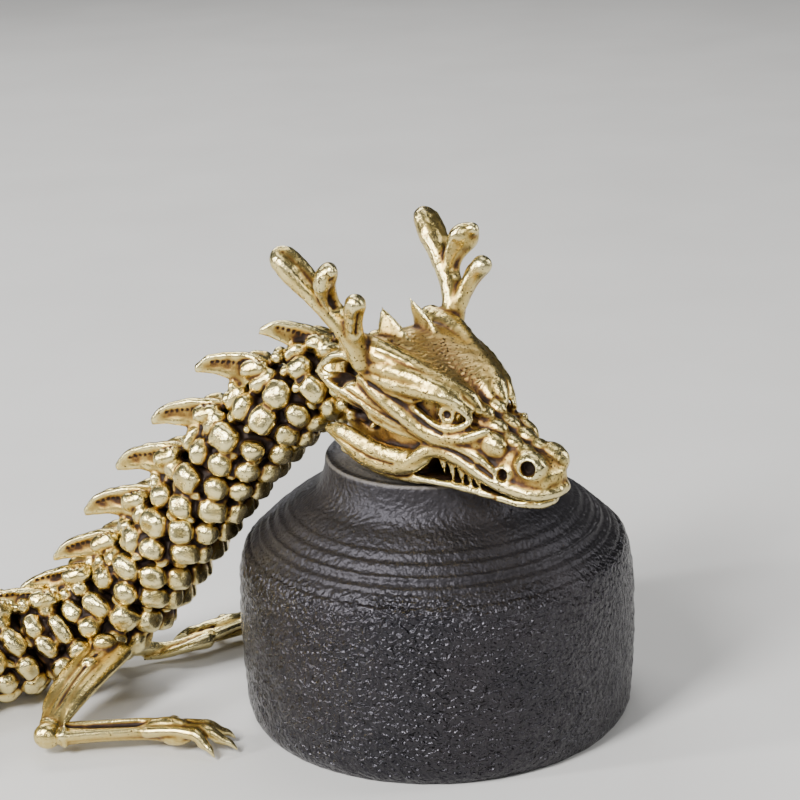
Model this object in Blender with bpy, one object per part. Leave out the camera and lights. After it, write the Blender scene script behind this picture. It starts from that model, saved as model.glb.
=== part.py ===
"""Cast brass dragon laid over a turned stoneware plinth.

The head rests on the plinth's flat top. The neck comes down beside the plinth, and the body, legs and
tail lie on the surface that the plinth stands on. The body is a row of separate cast links. Each link has
a domed front face that sits in the cup of the link ahead of it, with a small running gap.

Metres, +Z up. The origin is the centre of the plinth's underside, and +X is the way the head points.
"""

import math

import bmesh
import bpy
import numpy as np
from mathutils import Matrix, Vector

# Plinth: turned about Z.
PLINTH_RADIUS = 0.040
PLINTH_HEIGHT = 0.0545
PLINTH_WALL_HEIGHT = 0.0375
PLINTH_FOOT_RADIUS = 0.0372
PLINTH_FOOT_ROUND = 0.0034
PLINTH_NECK_RADIUS = 0.0215
PLINTH_NECK_HEIGHT = 0.0085
PLINTH_RIM = 0.0008
RING_STEP = 0.0018
RING_COUNT = 2
PLINTH_SIDES = 36

# Dragon: the figure is measured in parts, 21 parts to the diameter of its body over the scales.
BODY_DIAMETER = 0.021
PART = BODY_DIAMETER / 21
HEAD_PART = 0.94 * PART
BODY_RADIUS = BODY_DIAMETER / 2

# Clearances between pieces that touch.
GAP = 0.0003
SIDE_GAP = 0.0025

# Head placement over the plinth's top.
HEAD_YAW = math.radians(-45)
HEAD_PITCH = math.radians(7.5)
CHIN_REACH = 0.0340
CHIN_BEARING = math.radians(-59.5)
CHIN_DROP = 0.0012

# Links of the body.
LINK_COUNT = 23
LINK_SIDES = 12
CREST_HALF_ANGLE = math.radians(8)
DOME_RADIUS = 6.0
DOME_HEIGHT = 3.2

BRASS = "brass"
STONEWARE = "stoneware"


def parts(*values):
    """A point or a size given in parts of the figure, in metres."""
    return np.array(values, float) * PART


def clear_scene():
    for obj in list(bpy.data.objects):
        bpy.data.objects.remove(obj)


def make_material(name, colour, metallic, roughness):
    material = bpy.data.materials.new(name)
    material.use_nodes = True
    shader = material.node_tree.nodes["Principled BSDF"]
    shader.inputs["Base Color"].default_value = (*colour, 1)
    shader.inputs["Metallic"].default_value = metallic
    shader.inputs["Roughness"].default_value = roughness
    return material


def add_object(name, points, faces, material=None):
    """A mesh object with its place in its points. With no material it is a helper that is not rendered."""
    mesh = bpy.data.meshes.new(name)
    mesh.from_pydata([tuple(p) for p in points], [], [tuple(f) for f in faces])
    mesh.validate()
    obj = bpy.data.objects.new(name, mesh)
    bpy.context.scene.collection.objects.link(obj)
    if material is None:
        obj.hide_render = True
        obj.display_type = "WIRE"
    else:
        mesh.materials.append(bpy.data.materials[material])
    return obj


def grid_faces(rings, sides, first=0):
    """Quads that join rings of points, each ring closed on itself."""
    return [
        (
            first + ring * sides + side,
            first + ring * sides + (side + 1) % sides,
            first + (ring + 1) * sides + (side + 1) % sides,
            first + (ring + 1) * sides + side,
        )
        for ring in range(rings - 1)
        for side in range(sides)
    ]


def closed_rings(rings, start, end):
    """Points and faces of a closed skin over a list of rings, with a fan to a pole at each end."""
    sides = len(rings[0])
    points = [p for ring in rings for p in ring] + [start, end]
    faces = grid_faces(len(rings), sides)
    low, high = len(points) - 2, len(points) - 1
    last = (len(rings) - 1) * sides
    for side in range(sides):
        following = (side + 1) % sides
        faces.append((low, following, side))
        faces.append((high, last + side, last + following))
    return points, faces


def unit(vector):
    return vector / np.linalg.norm(vector)


def face_outwards(obj):
    work = bmesh.new()
    work.from_mesh(obj.data)
    bmesh.ops.recalc_face_normals(work, faces=work.faces)
    work.to_mesh(obj.data)
    work.free()


# Plinth


def plinth_profile(grow=0.0):
    """Half outline of the plinth from the underside's centre to the top's centre, grown by a clearance."""
    foot, wall = PLINTH_FOOT_RADIUS, PLINTH_RADIUS
    outline = [(0, 0), (foot, 0)]
    for turn in (30, 60, 90):
        angle = math.radians(turn)
        outline.append(
            (
                foot + (wall * 0.985 - foot) * math.sin(angle),
                PLINTH_FOOT_ROUND * (1 - math.cos(angle)),
            )
        )
    outline += [(wall, PLINTH_WALL_HEIGHT * 0.5), (wall * 0.99, PLINTH_WALL_HEIGHT * 0.86)]
    ring_radius = wall - RING_STEP * 1.4
    outline.append((ring_radius, PLINTH_WALL_HEIGHT))
    for step in range(RING_COUNT):
        radius = ring_radius - RING_STEP * (step + 0.4)
        height = PLINTH_WALL_HEIGHT + RING_STEP * (step + 0.35) * 0.8
        outline += [
            (radius, height),
            (radius - RING_STEP * 0.35, height + RING_STEP * 0.5),
        ]
    neck, neck_foot = PLINTH_NECK_RADIUS, PLINTH_HEIGHT - PLINTH_NECK_HEIGHT
    outline += [
        (neck * 1.22, neck_foot),
        (neck * 1.06, neck_foot + PLINTH_NECK_HEIGHT * 0.25),
        (neck, neck_foot + PLINTH_NECK_HEIGHT * 0.55),
        (neck, PLINTH_HEIGHT - PLINTH_RIM),
        (neck - PLINTH_RIM, PLINTH_HEIGHT),
        (0, PLINTH_HEIGHT),
    ]
    return [(radius + grow * (radius > 0), height + grow * (height > 0)) for radius, height in outline]


def turned(name, outline, sides, material=None):
    """A solid turned about Z from a half outline that starts and ends on the axis."""
    rings = [
        [
            (radius * math.cos(turn), radius * math.sin(turn), height)
            for turn in np.arange(sides) * math.tau / sides
        ]
        for radius, height in outline[1:-1]
    ]
    points, faces = closed_rings(rings, (0, 0, outline[0][1]), (0, 0, outline[-1][1]))
    obj = add_object(name, points, faces, material)
    face_outwards(obj)
    return obj


def add_plinth():
    obj = turned("plinth", plinth_profile(), PLINTH_SIDES, STONEWARE)
    obj.data.shade_smooth()
    obj.data.set_sharp_from_angle(angle=math.radians(35))


# Head frame


def head_matrix():
    """Turns head measures, in parts forward, left and up from under the nape, into places."""
    forward = np.array(
        [
            math.cos(HEAD_YAW) * math.cos(HEAD_PITCH),
            math.sin(HEAD_YAW) * math.cos(HEAD_PITCH),
            -math.sin(HEAD_PITCH),
        ]
    )
    left = np.array([-math.sin(HEAD_YAW), math.cos(HEAD_YAW), 0])
    up = np.cross(forward, left)
    chin = np.array(
        [
            CHIN_REACH * math.cos(CHIN_BEARING),
            CHIN_REACH * math.sin(CHIN_BEARING),
            PLINTH_HEIGHT - CHIN_DROP,
        ]
    )
    return np.column_stack([forward, left, up]) * HEAD_PART, chin - forward * 54 * HEAD_PART


def in_head(*point):
    axes, origin = head_matrix()
    return axes @ np.array(point, float) + origin


# Route of the body's axis, from the nape to the tail


def route_points():
    """The axis's own points: over the plinth's shoulder, down beside its wall, then along the ground."""
    beside = PLINTH_RADIUS + BODY_RADIUS + SIDE_GAP
    top = PLINTH_HEIGHT + BODY_RADIUS
    neck = [
        in_head(5.5, 0, 12.5),
        (-0.525 * PLINTH_RADIUS, 1 * PART, 1.080 * top),
        (-0.752 * PLINTH_RADIUS, 2.5 * PART, 0.965 * top),
        (-beside + 13.7 * PART, 4 * PART, 0.825 * top),
        (-beside + 4.2 * PART, 7 * PART, 0.634 * top),
        (-beside - 3.0 * PART, 9 * PART, 0.474 * top),
        (-beside - 11.4 * PART, 11 * PART, 0.311 * top),
        (-beside - 19.9 * PART, 11 * PART, 1.32 * BODY_RADIUS),
        (-beside - 28.5 * PART, 10.5 * PART, 1.11 * BODY_RADIUS),
        (-beside - 39 * PART, 7.5 * PART, ground_height(0.38)),
    ]
    swing = [
        (54, 0, 0.44),
        (70, -9, 0.50),
        (86, -16, 0.56),
        (102, -16, 0.62),
        (117, -7, 0.68),
        (131, 5, 0.74),
        (146, 14, 0.80),
        (161, 16, 0.86),
        (175, 9, 0.93),
        (185, -2, 1.00),
    ]
    ground = [
        (-beside - back * PART, side * PART, ground_height(share)) for back, side, share in swing
    ]
    return np.array([np.array(p, float) for p in neck + ground])


def girth(share):
    """Radius of the body as a share of its greatest, at a share of the way from nape to tail."""
    return np.interp(share, [0, 0.08, 0.25, 0.50, 0.75, 0.90, 1], [0.86, 0.94, 1, 1, 0.76, 0.55, 0.38])


def ground_height(share):
    return BODY_RADIUS * float(girth(share)) + GAP


def smooth_route(steps=24):
    """A Catmull-Rom curve through the route's points, with the length run at each sample."""
    knots = route_points()
    padded = np.vstack([2 * knots[0] - knots[1], knots, 2 * knots[-1] - knots[-2]])
    samples = []
    for index in range(1, len(padded) - 2):
        before, here, there, after = padded[index - 1 : index + 3]
        for step in np.arange(steps) / steps:
            samples.append(
                0.5
                * (
                    2 * here
                    + (there - before) * step
                    + (2 * before - 5 * here + 4 * there - after) * step**2
                    + (3 * here - before - 3 * there + after) * step**3
                )
            )
    samples = np.array(samples + [knots[-1]])
    run = np.concatenate([[0], np.cumsum(np.linalg.norm(np.diff(samples, axis=0), axis=1))])
    return samples, run


def link_pivots():
    """Points where link meets link. The pitch shortens with the girth towards the tail."""
    samples, run = smooth_route()
    share = run / run[-1]
    pitch = 0.45 + 0.55 * girth(share)
    count = np.concatenate([[0], np.cumsum(np.diff(run) / pitch[1:])])
    whole = LINK_COUNT + 1
    places = np.interp(np.arange(whole + 1) * count[-1] / whole, count, run)
    pivots = np.column_stack([np.interp(places, run, samples[:, axis]) for axis in range(3)])
    return pivots, places / run[-1]


def joint_frames(pivots):
    """At each pivot the forward, left and up directions of the plane between two links."""
    chords = np.array([unit(a - b) for a, b in zip(pivots, pivots[1:])])
    forward = [chords[0]] + [unit(a + b) for a, b in zip(chords, chords[1:])] + [chords[-1]]
    frames = []
    for direction in forward:
        up = unit(np.array([0, 0, 1.0]) - direction[2] * direction)
        frames.append((direction, np.cross(up, direction), up))
    return frames


# Links


def link_angles():
    """Angles round a link from the crest line: the crest, its two feet, then scales and grooves."""
    spread = np.linspace(CREST_HALF_ANGLE, math.tau - CREST_HALF_ANGLE, LINK_SIDES - 1)
    return np.concatenate([[0], spread])


def ring(centre, frame, radii, rise=0.0, back=0.0):
    """A ring of points about a centre, with its crest point raised and swept back to form the fin."""
    forward, left, up = frame
    angles = link_angles()
    points = (
        centre
        + np.outer(np.sin(angles) * radii, left)
        + np.outer(np.cos(angles) * radii * 1.03, up)
    )
    points[0] += up * rise - forward * back
    return points


def between(first, second, share):
    forward = unit(first[0] * (1 - share) + second[0] * share)
    up = unit(first[2] * (1 - share) + second[2] * share)
    up = unit(up - (up @ forward) * forward)
    return forward, np.cross(up, forward), up


def fin_shape(share):
    """Rise and backward sweep of the fin's crest points, in parts. It lies lower behind the neck."""
    upright = float(np.interp(share, [0.0, 0.22, 0.36, 1.0], [1.0, 1.0, 0.55, 0.55]))
    return [
        (0.0, 0.0),
        (1.4 + 0.4 * upright, 0.6),
        (3.9 + 2.0 * upright, 3.9),
        (3.9 + 4.9 * upright, 8.4 - 1.8 * upright),
        (0.3, 0.0),
    ]


def link_rings(pivots, frames, shares, index):
    """Rings of one link, from the dome at its front, over two hoops of scales, to the cup at its rear."""
    size = float(girth(shares[index])) * PART
    rear_size = float(girth(shares[index + 1])) * PART
    front, rear = frames[index], frames[index + 1]
    start, end = pivots[index], pivots[index + 1]
    slots = np.arange(LINK_SIDES)
    scales_first = np.where(slots % 2 == 0, 10.5, 8.9)
    scales_second = np.where(slots % 2 == 1, 10.5, 8.9)
    plain = np.ones(LINK_SIDES)
    rings = [ring(start - front[0] * GAP / 2, front, plain * DOME_RADIUS * size)]
    hoops = zip(
        (0.06, 0.28, 0.52, 0.78, 0.97),
        (plain * 7.9, scales_first, plain * 8.6, scales_second, plain * 8.9),
        fin_shape(shares[index]),
    )
    for place, radii, (rise, back) in hoops:
        centre = start * (1 - place) + end * place
        here = size * (1 - place) + rear_size * place
        rings.append(ring(centre, between(front, rear, place), radii * here, rise * here, back * here))
    cup = DOME_RADIUS * rear_size + GAP
    cup_height = DOME_HEIGHT * rear_size + GAP
    rings.append(ring(end + rear[0] * GAP / 2, rear, plain * cup))
    return (
        rings,
        start + front[0] * (DOME_HEIGHT * size - GAP / 2),
        end + rear[0] * (cup_height + GAP / 2),
    )


def link_name(index):
    return f"link_{index + 1:02d}"


def add_links(pivots, frames, shares):
    for index in range(len(pivots) - 2):
        rings, nose, hollow = link_rings(pivots, frames, shares, index)
        points, faces = closed_rings(rings, nose, hollow)
        face_outwards(add_object(link_name(index), points, faces, BRASS))


# Cast forms: overlapping closed shapes melted into one skin


def tube(points, radii, sides=10):
    """A closed round tube through points, with a rounded end at each side."""
    points = [np.array(p, float) for p in points]
    rings = []
    for index, (centre, radius) in enumerate(zip(points, radii)):
        ahead = points[min(index + 1, len(points) - 1)]
        behind = points[max(index - 1, 0)]
        forward = unit(ahead - behind)
        side = unit(np.cross(forward, [0.13, 0.21, 0.97]))
        up = np.cross(side, forward)
        turns = np.arange(sides) * math.tau / sides
        rings.append(
            centre + np.outer(np.cos(turns) * radius, side) + np.outer(np.sin(turns) * radius, up)
        )
    start = points[0] + unit(points[0] - points[1]) * radii[0] * 0.8
    end = points[-1] + unit(points[-1] - points[-2]) * radii[-1] * 0.8
    return closed_rings(rings, start, end)


def ball(centre, radii, axes=np.eye(3), sides=12, rings=6):
    """A closed ellipsoid."""
    centre, radii = np.array(centre, float), np.array(radii, float)
    skins = []
    for lift in np.linspace(-math.pi / 2, math.pi / 2, rings + 1)[1:-1]:
        turns = np.arange(sides) * math.tau / sides
        local = np.column_stack(
            [
                np.cos(turns) * math.cos(lift),
                np.sin(turns) * math.cos(lift),
                np.full(sides, math.sin(lift)),
            ]
        )
        skins.append((local * radii) @ axes.T + centre)
    pole = axes @ np.array([0, 0, radii[2]])
    return closed_rings(skins, centre - pole, centre + pole)


def cast(name, shapes, voxel, keep, material=BRASS):
    """Melts closed shapes that overlap into one skin, then thins the skin to a share of its faces."""
    points, faces = [], []
    for more_points, more_faces in shapes:
        faces += [tuple(len(points) + corner for corner in face) for face in more_faces]
        points += [tuple(p) for p in more_points]
    obj = add_object(name, points, faces, material)
    face_outwards(obj)
    melt = obj.modifiers.new("melt", "REMESH")
    melt.mode = "VOXEL"
    melt.voxel_size = voxel
    ease = obj.modifiers.new("ease", "SMOOTH")
    ease.iterations = 1
    ease.factor = 0.4
    thin = obj.modifiers.new("thin", "DECIMATE")
    thin.ratio = keep
    return obj


def cut(obj, cutter):
    modifier = obj.modifiers.new("cut_" + cutter.name, "BOOLEAN")
    modifier.operation = "DIFFERENCE"
    modifier.object = cutter


# Head


def skull():
    """Head and snout: oval sections from the nape to the nose."""
    sections = [
        (5.0, 8.5, 6.0, 20.0),
        (11.0, 11.5, 3.0, 23.0),
        (20.0, 13.0, -2.0, 24.0),
        (28.0, 10.8, -2.2, 24.0),
        (34.0, 8.4, -1.2, 22.0),
        (40.0, 6.8, 0.0, 18.6),
        (45.0, 6.0, 0.2, 15.4),
        (51.0, 5.8, 0.4, 13.0),
        (57.0, 5.6, 1.0, 11.8),
        (61.0, 4.2, 3.0, 9.8),
    ]
    sides = 16
    rings = []
    for x, half, low, high in sections:
        ring_points = []
        for turn in np.arange(sides) * math.tau / sides:
            across, lift = math.cos(turn), math.sin(turn)
            squared = (abs(across) ** 2.6 + abs(lift) ** 2.6) ** (-1 / 2.6)
            ring_points.append(
                in_head(x, half * across * squared, (low + high) / 2 + (high - low) / 2 * lift * squared)
            )
        rings.append(ring_points)
    first, last = sections[0], sections[-1]
    return closed_rings(
        rings,
        in_head(first[0] - 1, 0, (first[2] + first[3]) / 2),
        in_head(last[0] + 1.5, 0, (last[2] + last[3]) / 2),
    )


def head_tube(side, points, radii, sides=8):
    return tube([in_head(x, side * y, z) for x, y, z in points], [r * HEAD_PART for r in radii], sides)


def horn(side):
    """An antler with a paddle-ended beam and two knobbed tines."""
    return [
        head_tube(
            side,
            [(18.5, 13.0, 24.0), (16.5, 15.8, 29.5), (10.5, 18.0, 34.9), (5.0, 19.8, 39.0), (1.2, 21.3, 41.8)],
            [2.6, 2.1, 2.3, 2.6, 2.7],
        ),
        head_tube(side, [(12.5, 17.2, 33.0), (13.0, 18.8, 37.2), (13.6, 20.2, 41.4)], [2.0, 1.6, 1.9]),
        head_tube(side, [(17.5, 15.2, 28.0), (19.2, 17.0, 32.6), (20.6, 18.6, 37.2)], [2.0, 1.5, 1.7]),
    ]


def brow_and_cheek(side):
    """The brow roll over the eye, the flares behind the cheek, the jowl, the lip and the nostril."""
    return [
        head_tube(side, [(15, 12.4, 23.5), (24, 10.2, 24.4), (32, 8.0, 22.0), (39, 6.8, 19.4), (45, 4.8, 15.8)], [3.0, 2.8, 2.3, 2.0, 1.5]),
        head_tube(side, [(8.6, 14.2, 19.0), (15, 13.2, 16.6), (24, 11.4, 13.2), (33, 8.6, 12.2)], [1.4, 2.4, 2.5, 2.0]),
        head_tube(side, [(8.8, 13.2, 13.4), (15, 12.6, 10.8), (24, 11.2, 9.0)], [1.3, 2.1, 2.0]),
        head_tube(side, [(9.6, 12.2, 6.4), (15, 12.2, 4.4), (23, 11.0, 3.4), (31, 9.2, 3.0)], [1.6, 2.8, 2.6, 2.0]),
        head_tube(side, [(31, 9.2, 6.0), (38, 7.8, 10.4), (44, 6.8, 8.0), (51, 6.0, 5.2), (58, 3.4, 4.4)], [1.6, 1.8, 1.7, 1.7, 1.6]),
        head_tube(side, [(25, 9.2, 0.8), (36, 7.8, 1.4), (46, 6.6, 1.6), (56, 3.8, 2.2)], [1.8, 1.5, 1.4, 1.5]),
        head_tube(side, [(45, 3.0, 15.6), (51, 3.6, 13.2), (57.5, 4.0, 11.2)], [2.2, 1.9, 2.6]),
        ball(in_head(38.0, side * 6.8, 15.8), [2.2 * HEAD_PART] * 3),
        head_tube(side, [(22, 3.4, 22.6), (17, 4.0, 24.8), (13.0, 4.6, 29.8)], [3.4, 3.2, 0.8]),
    ]


def add_head(neck_pivot, neck_frame, neck_size):
    shapes = [skull()]
    for side in (-1, 1):
        shapes += horn(side) + brow_and_cheek(side)
    obj = cast("head", shapes, voxel=0.70 * PART, keep=0.046)
    seat = turned("seat_cutter", plinth_profile(GAP), PLINTH_SIDES)
    cut(obj, seat)
    cut(obj, neck_cutter(neck_pivot, neck_frame, neck_size))


def neck_cutter(pivot, frame, size):
    """Room behind the head for the first link, with a hollow for its dome."""
    plain = np.ones(LINK_SIDES)
    cup = DOME_RADIUS * size + GAP
    height = DOME_HEIGHT * size + GAP
    wide = 11.2 * PART
    rings = [
        ring(pivot + frame[0] * GAP / 2, frame, plain * cup),
        ring(pivot + frame[0] * GAP / 2, frame, plain * wide),
        ring(pivot - frame[0] * 16 * PART, frame, plain * wide),
    ]
    points, faces = closed_rings(
        rings, pivot + frame[0] * (height + GAP / 2), pivot - frame[0] * 16 * PART
    )
    obj = add_object("neck_cutter", points, faces)
    face_outwards(obj)
    return obj


# Legs


def claw(base, tip, width):
    """A toe with a hooked nail: it lifts from the knuckle and drops to the nail's point."""
    base, tip = np.array(base, float), np.array(tip, float)
    knuckle = base * 0.55 + tip * 0.45 + parts(0, 0, 1.6)
    return tube([base, knuckle, tip + (knuckle - tip) * 0.12], [width, width * 0.95, width * 0.25], 7)


def body_room(pivots, shares):
    """A smooth tube round the whole row of links, grown by the clearance, that shapes what lies against it."""
    radii = (BODY_RADIUS * 1.05) * girth(shares) + GAP
    room = add_object("body_room", *tube(pivots, radii, 20))
    face_outwards(room)
    return room


def add_leg(name, shoulder, elbow, wrist, paw, heading, room):
    """Two castings that meet at a round knuckle: the upper leg, and the lower leg with its paw."""
    heading = np.array([math.cos(heading), math.sin(heading), 0])
    aside = np.array([-heading[1], heading[0], 0])
    thick = 3.6 * PART
    middle = shoulder * 0.45 + elbow * 0.55 + parts(0, 0, 1.2)
    upper = cast(
        name + "_upper",
        [
            tube([shoulder, middle, elbow], [4.8 * PART, 4.2 * PART, 2.8 * PART]),
            ball(elbow, [thick] * 3),
        ],
        voxel=0.7 * PART,
        keep=0.055,
    )
    cut(upper, room)
    along = unit(wrist - elbow)
    toes = []
    for angle, reach in ((-34, 8.5), (-8, 11.0), (18, 10.0), (125, 6.5)):
        turn = math.radians(angle)
        way = heading * math.cos(turn) + aside * math.sin(turn)
        toes.append(claw(paw + way * 1.5 * PART, np.append((paw + way * reach * PART)[:2], 0.9 * PART), 1.7 * PART))
    lower = cast(
        name + "_lower",
        [
            tube(
                [elbow + along * 3.4 * PART, elbow * 0.5 + wrist * 0.5, wrist, paw],
                [3.1 * PART, 2.5 * PART, 2.4 * PART, 2.6 * PART],
            ),
            ball(paw, parts(4.6, 4.2, 2.7)),
            *toes,
        ],
        voxel=0.6 * PART,
        keep=0.048,
    )
    cut(lower, grown_copy(upper, name + "_clear_upper"))
    cut(lower, room)
    floor_cutter = add_object(name + "_floor_cutter", *slab_below_floor(paw))
    face_outwards(floor_cutter)
    cut(lower, floor_cutter)


def slab_below_floor(centre):
    """A box under the ground plane, which gives what rests there a small flat."""
    reach, depth = 60 * PART, 20 * PART
    corners = [
        (centre[0] + x * reach, centre[1] + y * reach, z)
        for z in (-depth, 0.0)
        for x, y in ((-1, -1), (1, -1), (1, 1), (-1, 1))
    ]
    faces = [(3, 2, 1, 0), (4, 5, 6, 7)]
    faces += [(side, (side + 1) % 4, (side + 1) % 4 + 4, side + 4) for side in range(4)]
    return corners, faces


def grown_copy(obj, name):
    """A helper copy of a casting, grown by the clearance, that cuts room for it out of its neighbour."""
    helper = obj.copy()
    helper.data = obj.data.copy()
    helper.name = name
    bpy.context.scene.collection.objects.link(helper)
    helper.hide_render = True
    helper.display_type = "WIRE"
    swell = helper.modifiers.new("swell", "DISPLACE")
    swell.mid_level = 0
    swell.strength = GAP * 2.3
    return helper


def on_route(pivots, back):
    """The point of the body's axis that lies a length behind the plinth's centre."""
    order = np.argsort(-pivots[:, 0])
    return np.array([np.interp(back, -pivots[order, 0], pivots[order, axis]) for axis in range(3)])


def add_legs(pivots, shares):
    room = body_room(pivots, shares)
    beside = PLINTH_RADIUS + BODY_RADIUS + SIDE_GAP
    fore = on_route(pivots, beside + 12 * PART)
    hind = on_route(pivots, beside + 112 * PART)
    plans = [
        ("foreleg_right", fore, (-3.0, -9.5, -8.0), (-14.0, -30.0), (6.5, -28.5), (13.0, -30.0), -8),
        ("foreleg_left", fore, (-2.0, 10.0, -5.0), (-3.0, 9.5), (16.0, 17.0), (21.5, 21.0), 34),
        ("hindleg_right", hind, (0.0, -10.0, -2.0), (15.0, -25.0), (-6.0, -32.0), (-1.0, -36.0), -30),
        ("hindleg_left", hind, (0.0, 10.0, -2.0), (13.0, 25.0), (-8.0, 31.0), (-3.0, 35.0), 30),
    ]
    for name, middle, hip, elbow, wrist, paw, heading in plans:
        floor = np.array([middle[0], middle[1], 0])
        add_leg(
            name,
            middle + parts(*hip),
            floor + parts(*elbow, 4.0),
            floor + parts(*wrist, 3.2),
            floor + parts(*paw, 3.0),
            math.radians(heading),
            room,
        )


# Tail


def add_tail(pivots, frames, shares):
    """The last casting: a short stem with the dome of a link, and a flame of five leaves."""
    start, frame = pivots[-2], frames[-2]
    size = float(girth(shares[-2])) * PART
    back = unit(pivots[-1] - pivots[-2])
    plain = np.ones(LINK_SIDES)
    rings = [
        ring(start - frame[0] * GAP / 2, frame, plain * DOME_RADIUS * size),
        ring(start + back * 1.2 * PART, frame, plain * 8.2 * size),
        ring(start + back * 5.0 * PART, frame, plain * 7.4 * size),
        ring(start + back * 10.0 * PART, frame, plain * 4.0 * size),
    ]
    stem = closed_rings(
        rings, start + frame[0] * (DOME_HEIGHT * size - GAP / 2), start + back * 12 * PART
    )
    up = np.array([0, 0, 1.0])
    root = start + back * 4 * PART
    leaves = []
    for angle, length in ((-24, 15), (2, 24), (28, 28), (54, 23), (84, 15)):
        turn = math.radians(angle)
        way = back * math.cos(turn) + up * math.sin(turn)
        curl = up * math.cos(turn) - back * math.sin(turn)
        leaves.append(
            tube(
                [
                    root,
                    root + way * length * 0.45 * PART + curl * 1.0 * PART,
                    root + way * length * 0.80 * PART + curl * 2.4 * PART,
                    root + way * length * PART + curl * 5.0 * PART,
                ],
                [2.4 * PART, 2.5 * PART, 1.6 * PART, 0.5 * PART],
                8,
            )
        )
    obj = cast("tail", [stem, *leaves], voxel=0.55 * PART, keep=0.05)
    cut(obj, grown_copy(bpy.data.objects[link_name(len(pivots) - 3)], "tail_clear"))
    floor_cutter = add_object("tail_floor_cutter", *slab_below_floor(root))
    face_outwards(floor_cutter)
    cut(obj, floor_cutter)


def build():
    clear_scene()
    make_material(BRASS, (0.62, 0.46, 0.20), 1.0, 0.32)
    make_material(STONEWARE, (0.035, 0.031, 0.031), 0.0, 0.5)
    pivots, shares = link_pivots()
    frames = joint_frames(pivots)
    add_plinth()
    add_links(pivots, frames, shares)
    add_head(pivots[0], frames[0], float(girth(0)) * PART)
    add_legs(pivots, shares)
    add_tail(pivots, frames, shares)


build()
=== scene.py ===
import bpy
import numpy as np
from mathutils import Matrix, Vector


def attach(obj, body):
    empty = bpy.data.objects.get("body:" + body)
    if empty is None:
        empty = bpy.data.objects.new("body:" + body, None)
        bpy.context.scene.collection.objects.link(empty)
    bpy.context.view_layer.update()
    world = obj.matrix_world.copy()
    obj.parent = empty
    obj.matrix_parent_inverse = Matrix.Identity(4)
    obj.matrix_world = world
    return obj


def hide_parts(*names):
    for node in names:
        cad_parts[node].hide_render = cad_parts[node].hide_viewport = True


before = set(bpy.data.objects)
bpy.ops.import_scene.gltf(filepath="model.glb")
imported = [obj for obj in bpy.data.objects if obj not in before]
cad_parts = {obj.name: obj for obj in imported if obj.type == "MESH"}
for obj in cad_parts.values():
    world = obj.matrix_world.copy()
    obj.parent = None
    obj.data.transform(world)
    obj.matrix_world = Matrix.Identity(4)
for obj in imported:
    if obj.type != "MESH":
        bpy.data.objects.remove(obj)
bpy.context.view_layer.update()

# Camera, table and light. The camera stands where the photographer stood: a little above the plinth's
# top, level with its front, and tipped slightly. The table is plain and pale, and the light comes from
# large soft panels, the strongest high on the left.

MM = 0.001
camera_lift, camera_roll, camera_distance = np.radians(18.5), np.radians(2.2), 0.44
camera_target = Vector((-0.006, 0, 0.065))
away = Vector((0, -np.cos(camera_lift), np.sin(camera_lift)))
camera = bpy.data.objects.new("camera", bpy.data.cameras.new("camera"))
camera.data.lens = 100
camera.data.sensor_width = 36
camera.data.clip_end = 10
camera.matrix_world = (
    Matrix.Translation(camera_target + away * camera_distance)
    @ (-away).to_track_quat("-Z", "Y").to_matrix().to_4x4()
    @ Matrix.Rotation(-camera_roll, 4, "Z")
)
bpy.context.scene.collection.objects.link(camera)
bpy.context.scene.camera = camera


def grid_faces(rows, columns, around=True):
    """The four corners of each cell in a grid of points counted row by row. Around joins the last
    column to the first."""
    row = np.arange(rows - 1)[:, None] * columns
    column = np.arange(columns if around else columns - 1)[None, :]
    following = (column + 1) % columns
    cells = [row + column, row + following, row + columns + following, row + columns + column]
    return np.stack(cells, -1).reshape(-1, 4)


def put_mesh(name, points, quads, triangles=np.empty((0, 3), int)):
    """A smooth mesh object at the origin from arrays of points, four-cornered and three-cornered faces."""
    mesh = bpy.data.meshes.new(name)
    corners = np.concatenate([quads.ravel(), triangles.ravel()]).astype(np.int32)
    sizes = np.concatenate([np.full(len(quads), 4), np.full(len(triangles), 3)])
    mesh.vertices.add(len(points))
    mesh.vertices.foreach_set("co", np.ascontiguousarray(points, np.float32).ravel())
    mesh.loops.add(len(corners))
    mesh.loops.foreach_set("vertex_index", corners)
    mesh.polygons.add(len(sizes))
    mesh.polygons.foreach_set("loop_start", (np.cumsum(sizes) - sizes).astype(np.int32))
    mesh.update(calc_edges=True)
    mesh.validate()
    mesh.shade_smooth()
    obj = bpy.data.objects.new(name, mesh)
    bpy.context.scene.collection.objects.link(obj)
    return obj


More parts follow.
